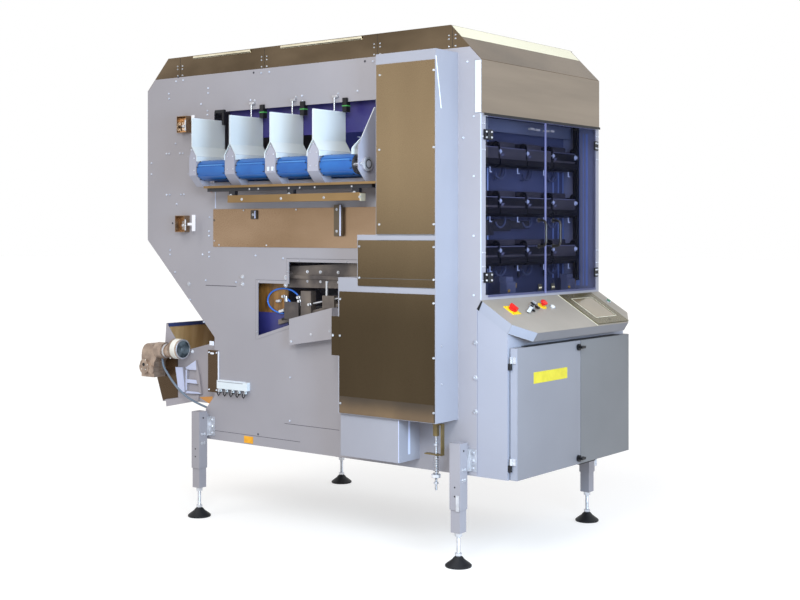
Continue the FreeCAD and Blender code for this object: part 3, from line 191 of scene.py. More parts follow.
def turned(mesh, profile, foot, axis, sides=20):
    """A turned shape: radius and height pairs round an axis that starts at its foot."""
    spin = Vector(axis).to_track_quat("Z", "Y").to_matrix().to_4x4()
    frame_at = Matrix.Translation(at(*foot)) @ spin
    rings = []
    for radius, high in profile:
        if radius == 0:
            rings.append([mesh.verts.new(frame_at @ Vector((0, 0, high / 1000)))])
            continue
        rings.append([mesh.verts.new(frame_at @ Vector((
            radius / 1000 * math.cos(2 * math.pi * i / sides),
            radius / 1000 * math.sin(2 * math.pi * i / sides), high / 1000)))
            for i in range(sides)])
    for below, above in zip(rings, rings[1:]):
        for i in range(sides):
            j = (i + 1) % sides
            if len(below) == 1:
                mesh.faces.new((below[0], above[j], above[i]))
            elif len(above) == 1:
                mesh.faces.new((below[i], below[j], above[0]))
            else:
                mesh.faces.new((below[i], below[j], above[j], above[i]))
    if len(rings[0]) > 1:
        mesh.faces.new(list(reversed(rings[0])))
    if len(rings[-1]) > 1:
        mesh.faces.new(rings[-1])


def bolt(mesh, foot, axis, size=6.0, washer=True):
    """A round-edged cap with a hexagon socket, on a thin washer."""
    profile = [(size * 1.45, 0), (size * 1.45, 1.2), (size, 1.4)] if washer else [(size, 0)]
    profile += [(size, size * 0.75), (size * 0.85, size), (size * 0.5, size),
                (size * 0.46, size * 0.5), (0, size * 0.45)]
    turned(mesh, profile, foot, axis, 12)


def settle(mesh, name, material, body="machine", stands_for=()):
    """Turns the shapes into one piece that rides on a body."""
    data = bpy.data.meshes.new(name)
    mesh.to_mesh(data)
    mesh.free()
    data.shade_smooth()
    data.set_sharp_from_angle(angle=math.radians(32))
    item = bpy.data.objects.new(name, data)
    scene.collection.objects.link(item)
    data.materials.append(material)
    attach(item, body)
    if stands_for:
        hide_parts(*stands_for)
    return item


paint = finish("powder_paint", (154, 151, 158), (162, 159, 166), (0.42, 0.55), cloud=1.3, grain=500)
zinc = finish("zinc_plate", (186, 188, 194), (222, 224, 230), (0.28, 0.42), cloud=25, metal=0.7)
rubber = finish("foot_rubber", (18, 18, 21), (30, 31, 34), (0.4, 0.6), cloud=18, specular=0.3)
black_plastic = finish("black_plastic", (16, 16, 19), (26, 26, 30), (0.35, 0.5), cloud=12,
                       specular=0.3)
dress(paint, "base_frame", "legs")

foot_x, foot_y, tube_half = 600, 867, 30
pads, stems, leg_bolts, clips, leg_holes = (bmesh.new() for _ in range(5))
for x in (-foot_x, foot_x):
    for y in (-foot_y, foot_y):
        turned(pads, [(60, 0), (62.5, 3), (62.5, 9), (57, 14), (30, 34), (22, 44), (17, 48),
                      (14, 46), (0, 46)], (x, y, 0), upwards, 32)
        turned(stems, [(10, 44)] + [(10 if i % 2 else 9, 46 + 3 * i) for i in range(38)],
               (x, y, 0), upwards, 16)
        turned(stems, [(0, 50), (15.5, 50), (17, 51.5), (17, 63), (15.5, 64), (0, 64)], (x, y, 0),
               upwards, 6)
        turned(stems, [(0, 140), (17, 140), (18, 142), (18, 158), (17, 160), (0, 160)], (x, y, 0),
               upwards, 6)
        way = 1 if x > 0 else -1
        for z in (404, 452):
            for shift in (-10, 10):
                bolt(leg_bolts, (x + shift, y - tube_half, z), to_front, 6)
        turned(leg_holes, [(5, 0), (5, 0.6), (0, 0.8)], (x, y - tube_half, 540), to_front, 12)
        for z in (330, 372):
            turned(leg_holes, [(4, 0), (4, 0.6), (0, 0.8)], (x + tube_half * way, y, z),
                   (way, 0, 0), 12)
settle(pads, "levelling_pads", rubber, stands_for=("levelling_feet",))
settle(stems, "threaded_stems", zinc)
settle(leg_bolts, "leg_bolts", zinc)
for way in (-1, 1):
    for y in (-foot_y, foot_y):
        brick(clips, across(way, 555, 572), (y - 33, y - 30), (440, 545), 1)
        brick(clips, across(way, 553.6, 556), (y - 72, y - 30), (440, 545), 1)
        for z in (456, 492, 528):
            bolt(clips, (556 * way, y - 52, z), (way, 0, 0), 7)
brick(clips, (-632, -630), (-892, -874), (262, 336), 0.8)
settle(clips, "leg_brackets", zinc)
settle(leg_holes, "leg_holes", black_plastic)


# Side plates, back cover and partition: 3 mm steel sheet with folded lips, powder coated in
# light grey and held by rows of small zinc bolts; unused holes have black plugs.
dress(paint, "side_plate_left", "side_plate_right", "rear_cover", "inner_panel")
plate_face, line_face = 553.5, -554.3
small, large, plugs_and_shade_lines, fold_highlights, marks, seam = (bmesh.new() for _ in range(6))
for y, z in ((1164, 2336), (1162, 2308), (847, 2346), (847, 2319), (902, 2262), (851, 2222),
             (851, 2200), (522, 2260), (222, 2230), (153, 2260), (149, 2230), (-220, 2260),
             (1104, 2402), (1047, 2404), (445, 2400), (386, 2401), (-319, 2400), (1108, 2052),
             (1182, 1998), (1160, 1998), (1071, 1996), (1047, 1996), (1309, 1949), (1309, 1886),
             (1182, 1766), (1155, 1766), (1063, 1766), (1039, 1766), (1100, 1713), (1153, 1453),
             (1153, 1429), (890, 1432), (839, 1445), (839, 1420), (835, 1637), (839, 1560),
             (839, 1535), (485, 1431), (286, 1418), (866, 1290), (631, 1285), (236, 799),
             (239, 573), (-922, 2095), (-922, 1816), (-922, 1538), (-922, 1262), (-862, 1998),
             (-886, 2352), (1112, 1330), (990, 1180), (880, 1060)):
    bolt(small, (-plate_face, y, z), to_lanes, 5, False)
for y in range(-880, 1250, 236):
    for z in (2300, 1500, 900):
        if z > 1500 or y < 800:
            bolt(small, (plate_face, y, z), (1, 0, 0), 4.5, False)
for x in range(-450, 460, 150):
    bolt(small, (x, 1342, 2300), to_back, 4.5, False)
    bolt(small, (x, 1342, 1560), to_back, 4.5, False)
for y, z in ((582, 1314), (582, 1277), (1000, 1266), (267, 1318), (267, 1278), (-932, 1041),
             (-932, 878), (-932, 720)):
    bolt(large, (-plate_face, y, z), to_lanes, 8.5)
    bolt(large, (plate_face, y, z), (1, 0, 0), 8.5)
for y, z in ((500, 2405), (-267, 2404), (1133, 1605), (467, 481), (1085, 2425)):
    turned(plugs_and_shade_lines, [(6, 0), (6, 1), (0, 1.5)], (-plate_face, y, z), to_lanes, 12)
# Painted shade: thin dark lines along the edges of raised panels; the discs above are real plugs.
brick(plugs_and_shade_lines, (-554.2, -plate_face), (629, 866), (1261, 1264))
brick(plugs_and_shade_lines, (-554.0, -plate_face), (-99, 276), (555, 557))
brick(plugs_and_shade_lines, (-553.9, -plate_face), (166, 850), (469, 471))
brick(seam, (-553.9, -plate_face), (-944, -942), (430, 1190))
# Painted highlight: a pale strip where light catches the sheet's bend beside the window.
brick(fold_highlights, (-556, -plate_face), (786, 792), (1686, 1790), 0.5)
# Painted shadow: thin dark lines along the lip round the opening.
for y0, y1, z0, z1 in ((-240, 262, 1416.5, 1418), (261.5, 263, 1302, 1417),
                       (262, 484, 1301, 1302.5), (483.5, 485, 988, 1302)):
    brick(plugs_and_shade_lines, (line_face, -plate_face), (y0, y1), (z0, z1))
slab(plugs_and_shade_lines, [(line_face, -238, 1196), (line_face, 485, 984), (line_face, 485, 985.5),
             (line_face, -238, 1197.5)], (0.8, 0, 0))
# Painted highlight: a pale strip on the plate's front corner bend.
brick(fold_highlights, (-554.4, -plate_face), (-964, -959), (1242, 2108), 0.2)
brick(marks, (-555, -plate_face), (504, 571), (426, 463), 0.5)
brick(marks, (-600, -590), (-330, -262), (466, 468), 0.5)
settle(small, "sheet_bolts", finish("bright_bolts", (184, 190, 204), (222, 228, 240), (0.2, 0.3),
                                     cloud=30))
settle(seam, "front_seam", finish("soft_seam", (116, 118, 136), (132, 134, 152), (0.4, 0.6)))
settle(large, "joint_bolts", zinc)
settle(plugs_and_shade_lines, "plugs_and_shadow_lines", finish("dark_gap_and_shadow", (52, 52, 62), (66, 66, 76), (0.5, 0.7), cloud=30))
settle(fold_highlights, "fold_highlight_strips", finish("fold_highlight", (196, 206, 232), (210, 218, 240), (0.35, 0.5)))
settle(marks, "side_marker_plates", finish("marker_orange", (232, 160, 24), (246, 178, 30),
                                           (0.3, 0.4), cloud=30))


# Hood and fascia: bright rolled stainless, 2 mm. The hood is bolted along four seams and carries
# two turned lips on its side; the fascia laps over the edges of both side plates.
hood_steel = finish("hood_stainless", (88, 75, 59), (120, 104, 84), (0.2, 0.3), cloud=1.6,
                    grain=800, bump=0.01, stretch=(1, 1, 2.5), metal=1.0)
dress(hood_steel, "hood")
fascia_steel = finish("fascia_stainless", (148, 138, 126), (158, 147, 134), (0.3, 0.4), cloud=1.2,
                      stretch=(1, 1, 12), grain=400, bump=0.01, metal=1.0)
dress(fascia_steel, "front_fascia")
pale_steel = finish("pale_stainless", (214, 204, 176), (240, 232, 208), (0.25, 0.35), cloud=6,
                    metal=0.5)
seams, seam_bolts, lips, laps, under = (bmesh.new() for _ in range(5))
for way in (-1, 1):
    for y in (1070, 421, -346, -800):
        brick(seams, across(way, plate_face, plate_face + 0.8), (y - 1, y + 1), (2424, 2530))
        for shift in (-19, 19):
            for z in (2432, 2467, 2484):
                bolt(seam_bolts, (plate_face * way, y + shift, z), (way, 0, 0), 4, False)
    for front, back in ((520, 960), (-250, 300)):
        brick(lips, across(way, plate_face, plate_face + 7), (front, back), (2514, 2520), 1)
        brick(lips, across(way, plate_face + 5, plate_face + 7), (front, back), (2514, 2530), 0.6)
    # Painted highlights: pale bluish strips on the fascia's laps over the side plates.
    brick(laps, across(way, plate_face + 2, plate_face + 2.8), (-965, -931), (2112, 2355), 0.3)
# Painted reflection: a bright cream skin on the hood's front slope for the light its stainless
# mirrors there.
front_face = bmesh.new()
slab(front_face, [(-548, -962, 2360.5), (548, -962, 2360.5), (548, -791, 2532), (-548, -791, 2532)],
     (0, -0.5, 0.5))
settle(seams, "hood_seams", finish("seam_shadow", (48, 40, 34), (64, 56, 48), (0.4, 0.6)))
settle(seam_bolts, "hood_bolts", zinc)
brick(under, (-546, 546), (-977.6, -976), (2098, 2110))
settle(lips, "hood_lips", pale_steel)
settle(laps, "fascia_laps", finish("lap_highlight", (206, 216, 232), (222, 230, 242), (0.3, 0.4)))
settle(under, "fascia_shadow_gap", black_plastic)
settle(front_face, "hood_slope_reflection", finish("slope_reflection_cream", (222, 218, 190), (232, 228, 202),
                                             (0.22, 0.34), cloud=1.4, grain=800, bump=0.01,
                                             stretch=(0.7, 1, 1)))


# Guard doors: blue tinted clear sheets in a painted frame, on black hinges with four screws each.
# Bronze bows are bolted through, and black catches and clamps hold the sheets when shut.
def tinted(name, see, face, part):
    """Clear tinted sheet: part of the light goes through, the rest meets a glossy face."""
    material = finish(name, face, [c + 6 for c in face], (0.03, 0.09), grain=30, bump=0.0)
    tree = material.node_tree
    through = tree.nodes.new("ShaderNodeBsdfTransparent")
    through.inputs["Color"].default_value = tone(*see)
    mix = tree.nodes.new("ShaderNodeMixShader")
    mix.inputs["Fac"].default_value = part
    tree.links.new(through.outputs["BSDF"], mix.inputs[1])
    tree.links.new(tree.nodes["Principled BSDF"].outputs["BSDF"], mix.inputs[2])
    tree.links.new(mix.outputs["Shader"], tree.nodes["Material Output"].inputs["Surface"])
    return material


dress(paint, "door_frame")
dress(tinted("door_tint", (223, 225, 238), (20, 24, 44), 0.045), "guard_door_left",
      "guard_door_right")
dress(finish("handle_bar", (36, 34, 34), (54, 50, 46), (0.22, 0.36), cloud=20, metal=0.3),
      "guard_door_handles")
screws, catches, buffers, edges, hinges = (bmesh.new() for _ in range(5))
for way in (-1, 1):
    for z in (1344, 2010):
        brick(hinges, across(way, 508, 538), (-972, -964), (z - 24, z + 24), 1.5)
        brick(hinges, across(way, 480, 506), (-981, -975), (z - 24, z + 24), 1.5)
        turned(hinges, [(0, 0), (5, 0), (5, 48), (0, 48)], (507 * way, -975, z - 24), upwards, 14)
        for reach, face in ((523, -972), (493, -981)):
            for rise in (-13, 13):
                bolt(screws, (reach * way, face, z + rise), to_front, 5, False)
    for z in (1330, 1395, 1460, 1940, 2000, 2060):
        for x in (526, 543):
            bolt(screws, (x * way, -964, z), to_front, 4, False)
    for z in (1486, 1614):
        bolt(screws, (68 * way, -968.5, z), to_back, 5)
    brick(catches, across(way, 44, 78), (-979, -975), (1268, 1300), 1)
    for x in (54, 68):
        turned(buffers, [(4, 0), (4, 3), (0, 3.5)], (x * way, -979, 1282), to_front, 12)
    brick(buffers, across(way, 24, 60), (-958, -940), (2056, 2066), 1.5)
    brick(buffers, across(way, 78, 112), (-958, -940), (2058, 2068), 1.5)
    # Painted highlights: pale lilac lines on the tinted sheets' edges where they meet.
    brick(edges, across(way, 2, 3.6), (-975.6, -969), (1252, 2096), 0.2)
settle(screws, "door_screws", zinc)
settle(catches, "door_catches", black_plastic)
settle(hinges, "door_hinges", black_plastic, stands_for=("guard_door_hinges",))
settle(buffers, "door_buffers", pale_steel)
settle(edges, "door_seam_highlights", finish("seam_edge_highlight", (138, 138, 178), (156, 156, 196), (0.2, 0.35)))


# Behind the glass: three rows of dark weighing buckets between round-topped brackets on a
# partition of brown stainless, with bolts, small hooks, grey hoses and valve blocks.
dress(finish("weigh_housing", (10, 10, 14), (22, 20, 22), (0.3, 0.45), cloud=5, specular=0.12),
      "weigh_heads")
# Painted shade: the partition's colour darkens towards the bottom to half of itself, for the shade
# low in the compartment.
dress(finish("lilac_partition", (84, 88, 110), (120, 124, 150), (0.3, 0.45), cloud=1.2,
             stretch=(1, 1, 0.5), specular=0.2, low=(1.3, 1.9, 0.5)), "inner_panel")
dress(tinted("window_tint", (150, 156, 214), (74, 84, 150), 0.6), "far_window")


def sweep(mesh, route, radius, sides=8):
    """A round hose or bent wire through points."""
    spots = [at(*p) for p in route]
    ring = None
    for i, spot in enumerate(spots):
        along = (spots[min(i + 1, len(spots) - 1)] - spots[max(i - 1, 0)]).normalized()
        spin = along.to_track_quat("Z", "Y")
        new = [mesh.verts.new(spot + spin @ Vector((
            radius / 1000 * math.cos(2 * math.pi * k / sides),
            radius / 1000 * math.sin(2 * math.pi * k / sides), 0))) for k in range(sides)]
        if ring:
            best = min(range(sides), key=lambda k: (new[k].co - ring[0].co).length)
            new = new[best:] + new[:best]
            for k in range(sides):
                mesh.faces.new((ring[k], ring[(k + 1) % sides], new[(k + 1) % sides], new[k]))
        else:
            mesh.faces.new(list(reversed(new)))
        ring = new
    mesh.faces.new(ring)


row_pitch, unit_pitch, first_row, first_unit, weigh_face = 242, 248, 1390, -496, -860
heads, tabs, ribs, hoses, blocks, brass, wall_highlights = (bmesh.new() for _ in range(7))
faces, steps, band = (bmesh.new() for _ in range(3))
for row in range(3):
    low = first_row + row_pitch * row
    for unit in range(5):
        x = first_unit + unit_pitch * unit
        bolt(heads, (x + (8 if unit < 4 else -8), weigh_face, low + 76), to_front, 9)
        if unit < 4:
            slab(tabs, [(x + 22, -860.2, low + 66), (x + 52, -860.2, low + 66),
                        (x + 22, -860.2, low + 42)], (0, -1, 0))
    for unit in range(4):
        x = first_unit + unit_pitch * unit
        brick(tabs, (x + 12, x + 236), (-861, -860), (low + 93, low + 97), 0.2)
        brick(ribs, (x + 14, x + 234), (-861.5, -860), (low + 44, low + 54), 0.6)
        brick(ribs, (x + 60, x + 188), (-853, -851.5), (low + 16, low + 38), 0.6)
        brick(ribs, (x + 40, x + 208), (-820, -756), (low + 99, low + 128), 3)
        turned(heads, [(3, 0), (3, 24), (0, 25)], (x + 190, -846, low), downwards, 8)
        brick(heads, (x + 187, x + 206), (-849, -843), (low - 28, low - 23), 1)
    for x in (-130, 118, 366):
        loop = [(x + 46 * math.cos(math.radians(a)), -790,
                 low - 12 + 40 * math.sin(math.radians(a))) for a in range(200, 381, 20)]
        sweep(hoses, loop, 5)
        sweep(hoses, [(x + 60, -770, low + 96), (x + 66, -766, low + 30), (x + 50, -768, low - 20),
                      (x + 20, -772, low - 50), (x - 20, -770, low - 56)], 4)
for x in (-202, 374):
    brick(blocks, (x - 40, x + 46), (-900, -860), (1246, 1312), 3)
    brick(blocks, (x - 30, x + 36), (-890, -850), (1312, 1336), 2)
    turned(brass, [(7, 0), (7, 8), (5, 9), (5, 24), (0, 25)], (x + 46, -885, 1300), (1, 0, 0), 12)
    turned(brass, [(6, 0), (6, 14), (0, 15)], (x + 62, -885, 1296), downwards, 12)
    brick(brass, (x - 30, x - 10), (-902, -900), (1262, 1276), 0.6)
# Painted highlights: pale blue streaks of light on the partition and on the right side plate's
# inner wall.
for x in (-196, 428, 482, 530):
    brick(wall_highlights, (x, x + 14), (-755.4, -754.2), (1310, 2010), 0.3)
for y, wide in ((-900, 12), (-876, 6), (-850, 20), (-818, 8)):
    brick(wall_highlights, (549.6, 550.4), (y, y + wide), (1270, 2080), 0.1)
brick(wall_highlights, (-470, -380), (-755.4, -754.2), (1790, 1890), 0.3)
for left, right, foot, top in ((-490, -250, 1900, 1970), (-244, 4, 1900, 1970),
                               (10, 238, 1900, 1970), (258, 488, 1662, 1726),
                               (258, 488, 1420, 1484)):
    brick(faces, (left, right), (weigh_face - 0.9, weigh_face), (foot, top), 0.2)
for left, right, foot, top in ((-187, -34, 1560, 1620), (-34, 142, 1572, 1612),
                               (-420, -187, 1540, 1616), (-480, -300, 1310, 1372)):
    brick(steps, (left, right), (-790, -757), (foot, top), 2)
for x in (-248, 0, 248):
    brick(steps, (x + 22, x + 34), (-800, -790), (1324, 1386), 2)
    brick(steps, (x - 6, x + 56), (-800, -790), (1376, 1388), 2)
brick(band, (-549, 549), (-800, -796), (2052, 2116), 0.5)
settle(faces, "weigh_faces", finish("brown_face", (62, 58, 58), (84, 76, 74), (0.3, 0.45), cloud=5))
settle(steps, "step_blocks", finish("ink_block", (14, 14, 20), (24, 24, 30), (0.3, 0.45), cloud=8))
settle(band, "compartment_header", finish("header_paint", (136, 138, 146), (156, 158, 166),
                                          (0.4, 0.5), cloud=2))
# Painted highlights: the zinc bolts behind the glass are near white for their glints; the small
# hooks share the white.
settle(heads, "weigh_bolts", finish("glint_white", (236, 238, 244), (248, 250, 252), (0.2, 0.3),
                                    cloud=30))
settle(tabs, "weigh_edges", finish("grey_glint", (104, 104, 124), (132, 132, 150), (0.25, 0.4)))
settle(ribs, "weigh_ribs", finish("dark_rib", (52, 48, 52), (84, 76, 76), (0.25, 0.4), cloud=6))
settle(hoses, "weigh_hoses", finish("grey_hose", (84, 88, 108), (112, 116, 136), (0.35, 0.5)))
settle(blocks, "valve_blocks", finish("valve_body", (96, 98, 112), (136, 138, 150), (0.35, 0.5)))
settle(brass, "valve_fittings", finish("brass", (214, 172, 74), (240, 204, 110), (0.2, 0.3),
                                       metal=0.8))
settle(wall_highlights, "wall_highlight_strips", finish("blue_sheen", (132, 152, 200), (164, 182, 222), (0.3, 0.4)))


# Electrical cabinet: a painted shell with two deep pan doors, hinged outside on black lift-off
# hinges and shut by two round black locks; a pale divider shows between the doors.
dress(finish("cabinet_paint", (155, 156, 168), (163, 164, 176), (0.42, 0.55), cloud=1.5, grain=500),
      "cabinet_shell")
# Painted shade: the doors are a darker copy of the shell's paint for the shade under the console,
# the right door darker still.
dress(finish("left_door_shaded_paint", (130, 129, 135), (138, 137, 143), (0.42, 0.55), cloud=1.4,
             grain=500), "cabinet_door_left")
dress(finish("right_door_shaded_paint", (110, 110, 112), (120, 120, 122), (0.42, 0.55), cloud=1.4,
             grain=500), "cabinet_door_right")
dress(black_plastic, "lock_knob_low", "lock_knob_high", "cabinet_hinge_pins")
dress(zinc, "cabinet_hinge_leaves_left", "cabinet_hinge_leaves_right")
pale_edge = finish("pale_edge", (196, 204, 236), (210, 216, 244), (0.35, 0.5))
# Painted light: a lighter, bluer copy of the paint on thin skins over the left door's side return
# and the console's sides.
side_face_light = finish("side_face_painted_light", (150, 152, 164), (160, 162, 174), (0.4, 0.52))
side_skins, plates, clamps, gap = (bmesh.new() for _ in range(4))
brick(side_skins, (-537.6, -537), (-1149.4, -1113.5), (421, 1024), 0.1)
brick(side_skins, (-536.9, -534), (-1150.5, -1150), (421, 1024), 0.1)
settle(side_skins, "door_side_lit_skin", side_face_light, "door_left")
brick(plates, (-396, -91), (-1150.8, -1150), (851, 904), 0.2)
settle(plates, "door_marker_plate", finish("marker_yellow", (206, 190, 34), (218, 202, 44),
                                           (0.3, 0.4), cloud=30), "door_left")
brick(gap, (-440, 440), (-1146, -1110), (1026.5, 1028.5))
brick(gap, (44, 204), (-1140, -1090), (411, 420.2), 1)
settle(gap, "door_top_gap", black_plastic)
brick(clamps, (212, 228), (-1138, -1126), (378, 418), 4)
brick(clamps, (214, 226), (-1136, -1100), (414, 420.2), 1)
turned(clamps, [(7, 0), (7, 26), (5, 28), (0, 28)], (220, -1080, 420), downwards, 12)
settle(clamps, "cabinet_clamps", zinc)
divider = bmesh.new()
brick(divider, (38.2, 41.8), (-1131, -1108), (421, 1024), 0.3)
settle(divider, "cabinet_divider", pale_edge)
for way, ride in ((-1, "door_left"), (1, "door_right")):
    leaf_screws = bmesh.new()
    for z in (460, 925):
        for rise in (38, 52):
            bolt(leaf_screws, (543 * way, -1134, z + rise), (way, 0, 0), 3.2, False)
    settle(leaf_screws, "hinge_screws_" + ride, zinc, ride)


# Console: a sloped pan of stone-grey painted sheet with cut front corners. It carries the yellow
# main switch, a key switch with its keys, the red stop, two lit buttons and a framed screen.
dress(finish("console_paint", (143, 135, 125), (154, 145, 135), (0.4, 0.52), cloud=3), "console")
dress(finish("yellow_plastic", (236, 200, 20), (250, 214, 30), (0.3, 0.42), cloud=20),
      "yellow_plates")
red = finish("red_plastic", (206, 26, 22), (228, 40, 32), (0.2, 0.32), cloud=30)
dress(red, "main_switch_knob")
dress(finish("white_plastic", (228, 228, 224), (240, 240, 236), (0.25, 0.4), cloud=30),
      "white_button")
dress(finish("green_plastic", (16, 96, 62), (26, 118, 78), (0.25, 0.4), cloud=30), "green_button")
dress(zinc, "switch_rings")
dress(finish("screen_frame", (70, 62, 34), (92, 82, 52), (0.22, 0.32), cloud=6), "touch_screen")
slope = math.atan2(147, 236)
console_back, console_top = -964, 1240


def on_slope(x, down, lift):
    """A place on the console by its distance across, down its slope and above its face."""
    return (x, console_back - down * math.cos(slope) - lift * math.sin(slope),
            console_top - down * math.sin(slope) + lift * math.cos(slope))


def slope_brick(mesh, x, down, lift, edge=0.0):
    """A block that lies on the console's slope."""
    out = Vector(on_slope(0, 0, 1)) - Vector(on_slope(0, 0, 0))
    slab(mesh, [on_slope(x[0], down[0], lift[0]), on_slope(x[1], down[0], lift[0]),
                on_slope(x[1], down[1], lift[0]), on_slope(x[0], down[1], lift[0])],
         out * (lift[1] - lift[0]), edge)


away = (0, -math.sin(slope), math.cos(slope))
stop = bmesh.new()
turned(stop, [(4, -4), (4, 12), (12, 12), (12, 20), (18.4, 20.2), (19, 23), (17.5, 28), (12, 31),
              (5, 32), (0, 32)], on_slope(-135, 84, 0), away, 28)
settle(stop, "stop_mushroom", red, "stop_button", stands_for=("stop_head",))
keys, blades, glass, trims, lips, wedge = (bmesh.new() for _ in range(6))
turned(keys, [(9, 0), (9, 6), (0, 6)], on_slope(-246, 92, 10), away, 20)
slope_brick(keys, (-258, -234), (80, 104), (22, 30), 2)
slope_brick(keys, (-236, -212), (84, 92), (14, 20), 1)
slope_brick(keys, (-216, -196), (88, 112), (6, 12), 2)
slope_brick(keys, (-272, -258), (96, 128), (4, 10), 2)
slab(blades, [on_slope(-262, 92, 12), on_slope(-252, 104, 12), on_slope(-322, 136, 8),
              on_slope(-334, 122, 8)], (0, -1, 2), 0.5)
slope_brick(glass, (187.5, 392.5), (54.5, 218.5), (4, 4.8))
for wide, down in (((184, 187), (51, 222)), ((393, 396), (51, 222)), ((184, 396), (51, 54)),
                   ((184, 396), (219, 222))):
    slope_brick(trims, wide, down, (5.5, 6.8), 0.2)
slope_brick(trims, (124, 130), (4, 276), (0, 1.6), 0.3)
slope_brick(keys, (284, 296), (240, 246), (6, 6.8), 0.1)
for down in (70, 124):
    for x in (-445, -391):
        turned(keys, [(2.5, 0), (2.5, 1), (0, 1.2)], on_slope(x, down, 4), away, 10)
# Painted light: thin skins of the lit side paint on the console's side faces.
slab(lips, [on_slope(-553.6, 1, -50), on_slope(-553.6, 199.6, -50), on_slope(-553.6, 199.6, -1.5),
            on_slope(-553.6, 1, -1.5)], (-0.6, 0, 0))
slab(lips, [on_slope(-plate_face, 200.2, -49), on_slope(-440.3, 278.1, -49),
            on_slope(-440.3, 278.1, -1.5), on_slope(-plate_face, 200.2, -1.5)], (-0.4, -0.6, 0))
slab(wedge, [on_slope(line_face, 1, -49), on_slope(line_face, 16, -49),
             on_slope(line_face, 10, -2), on_slope(line_face, 1, -2)], (-0.5, 0, 0))
settle(keys, "keys_and_screws", black_plastic)
settle(blades, "key_blades", finish("key_steel", (216, 220, 224), (240, 242, 244), (0.2, 0.3),
                                    cloud=20, metal=0.3))
settle(glass, "screen_glass", finish("dark_display", (112, 98, 74), (128, 112, 84), (0.12, 0.2),
                                     cloud=3, coat=0.5))
settle(trims, "screen_trims", finish("pale_trim", (206, 200, 180), (226, 220, 200), (0.3, 0.4)))
settle(lips, "console_side_faces", side_face_light)
settle(wedge, "console_gasket", black_plastic)
front_lip = bmesh.new()
slab(front_lip, [on_slope(-439, 278.1, -49), on_slope(439, 278.1, -49), on_slope(439, 278.1, -2),
                 on_slope(-439, 278.1, -2)], (0, -0.5, -0.3))
settle(front_lip, "console_front_face", finish("shaded_lip", (114, 112, 116), (124, 122, 126),
                                               (0.4, 0.55)))


# Column beside the lanes: a stepped painted box that hides the lanes' drive. Three stainless
# panels are screwed on its outer face, and a foot box hangs below it.
# Painted reflection: the panels' colour darkens towards the bottom, to 0.23 of itself, for the
# darker hall they mirror lower down.
stainless = finish("rolled_stainless", (142, 122, 95), (164, 143, 112), (0.22, 0.34), cloud=1.2,
                   grain=800, bump=0.01, stretch=(1, 1, 0.4), metal=1.0, low=(1.08, 2.0, 0.23))
dress(finish("column_paint", (150, 150, 160), (160, 160, 170), (0.42, 0.55), cloud=1.3, grain=500),
      "column_cover")
dress(stainless, "column_panels")
panel_face = -734
panel_screws, seams, flange_streak, brown, glints, tab, tab_screw = (bmesh.new() for _ in range(7))
for y, z in ((-507, 2300), (-824, 2300), (-504, 1946), (-824, 1946), (-504, 1592), (-824, 1592),
             (-381, 1487), (-824, 1487), (-381, 1337), (-824, 1337), (-261, 1231), (-824, 1229),
             (-259, 1053), (-824, 977), (-262, 725), (-824, 725)):
    bolt(panel_screws, (panel_face, y, z), to_lanes, 5.5, False)
for z in (1029, 854):
    bolt(panel_screws, (-686, -832, z), to_front, 4, False)
for z in (1543, 1517, 1336, 1298):
    brick(seams, (-734.4, -733.4), (-828, -490 if z > 1400 else -375), (z - 1.5, z + 1))
# Painted highlight: a bright diagonal streak on the column's front face near its top.
slab(flange_streak, [(-733, -832.2, 2367), (-726, -832.2, 2367), (-686, -832.2, 2128),
              (-692, -832.2, 2128)], (0, -0.6, 0))
# Painted reflection: a warm brown band on the lower panel's foot, lighter towards its bottom.
brick(brown, (panel_face - 0.8, panel_face), (-824, -255), (678, 760), 0.2)
# Painted highlights: a thin pale line on the foot box's corner and a vertical one on its front
# face.
brick(glints, (-718.4, -717.4), (-608, -604.5), (470, 672), 0.2)
brick(glints, (-646, -630), (-607.8, -607.2), (500, 660), 0.1)
brick(tab, (panel_face, panel_face + 2), (-252.9, -203), (955, 1146), 0.5)
bolt(tab_screw, (panel_face, -212, 1052), to_lanes, 5)
settle(tab, "panel_tab", stainless)
settle(tab_screw, "panel_tab_screw", zinc)
settle(panel_screws, "panel_screws", zinc)
settle(seams, "panel_seams", finish("seam_grey", (70, 66, 64), (88, 84, 80), (0.4, 0.6)))
settle(flange_streak, "column_highlight_streak", finish("streak_highlight", (228, 234, 246), (240, 244, 252), (0.3, 0.4)))
settle(brown, "panel_foot_reflection", finish("foot_reflection_brown", (98, 78, 56), (116, 93, 66), (0.3, 0.4),
                                        cloud=5, low=(0.759, 0.684, 0.3)))
settle(glints, "foot_box_highlights", pale_edge)


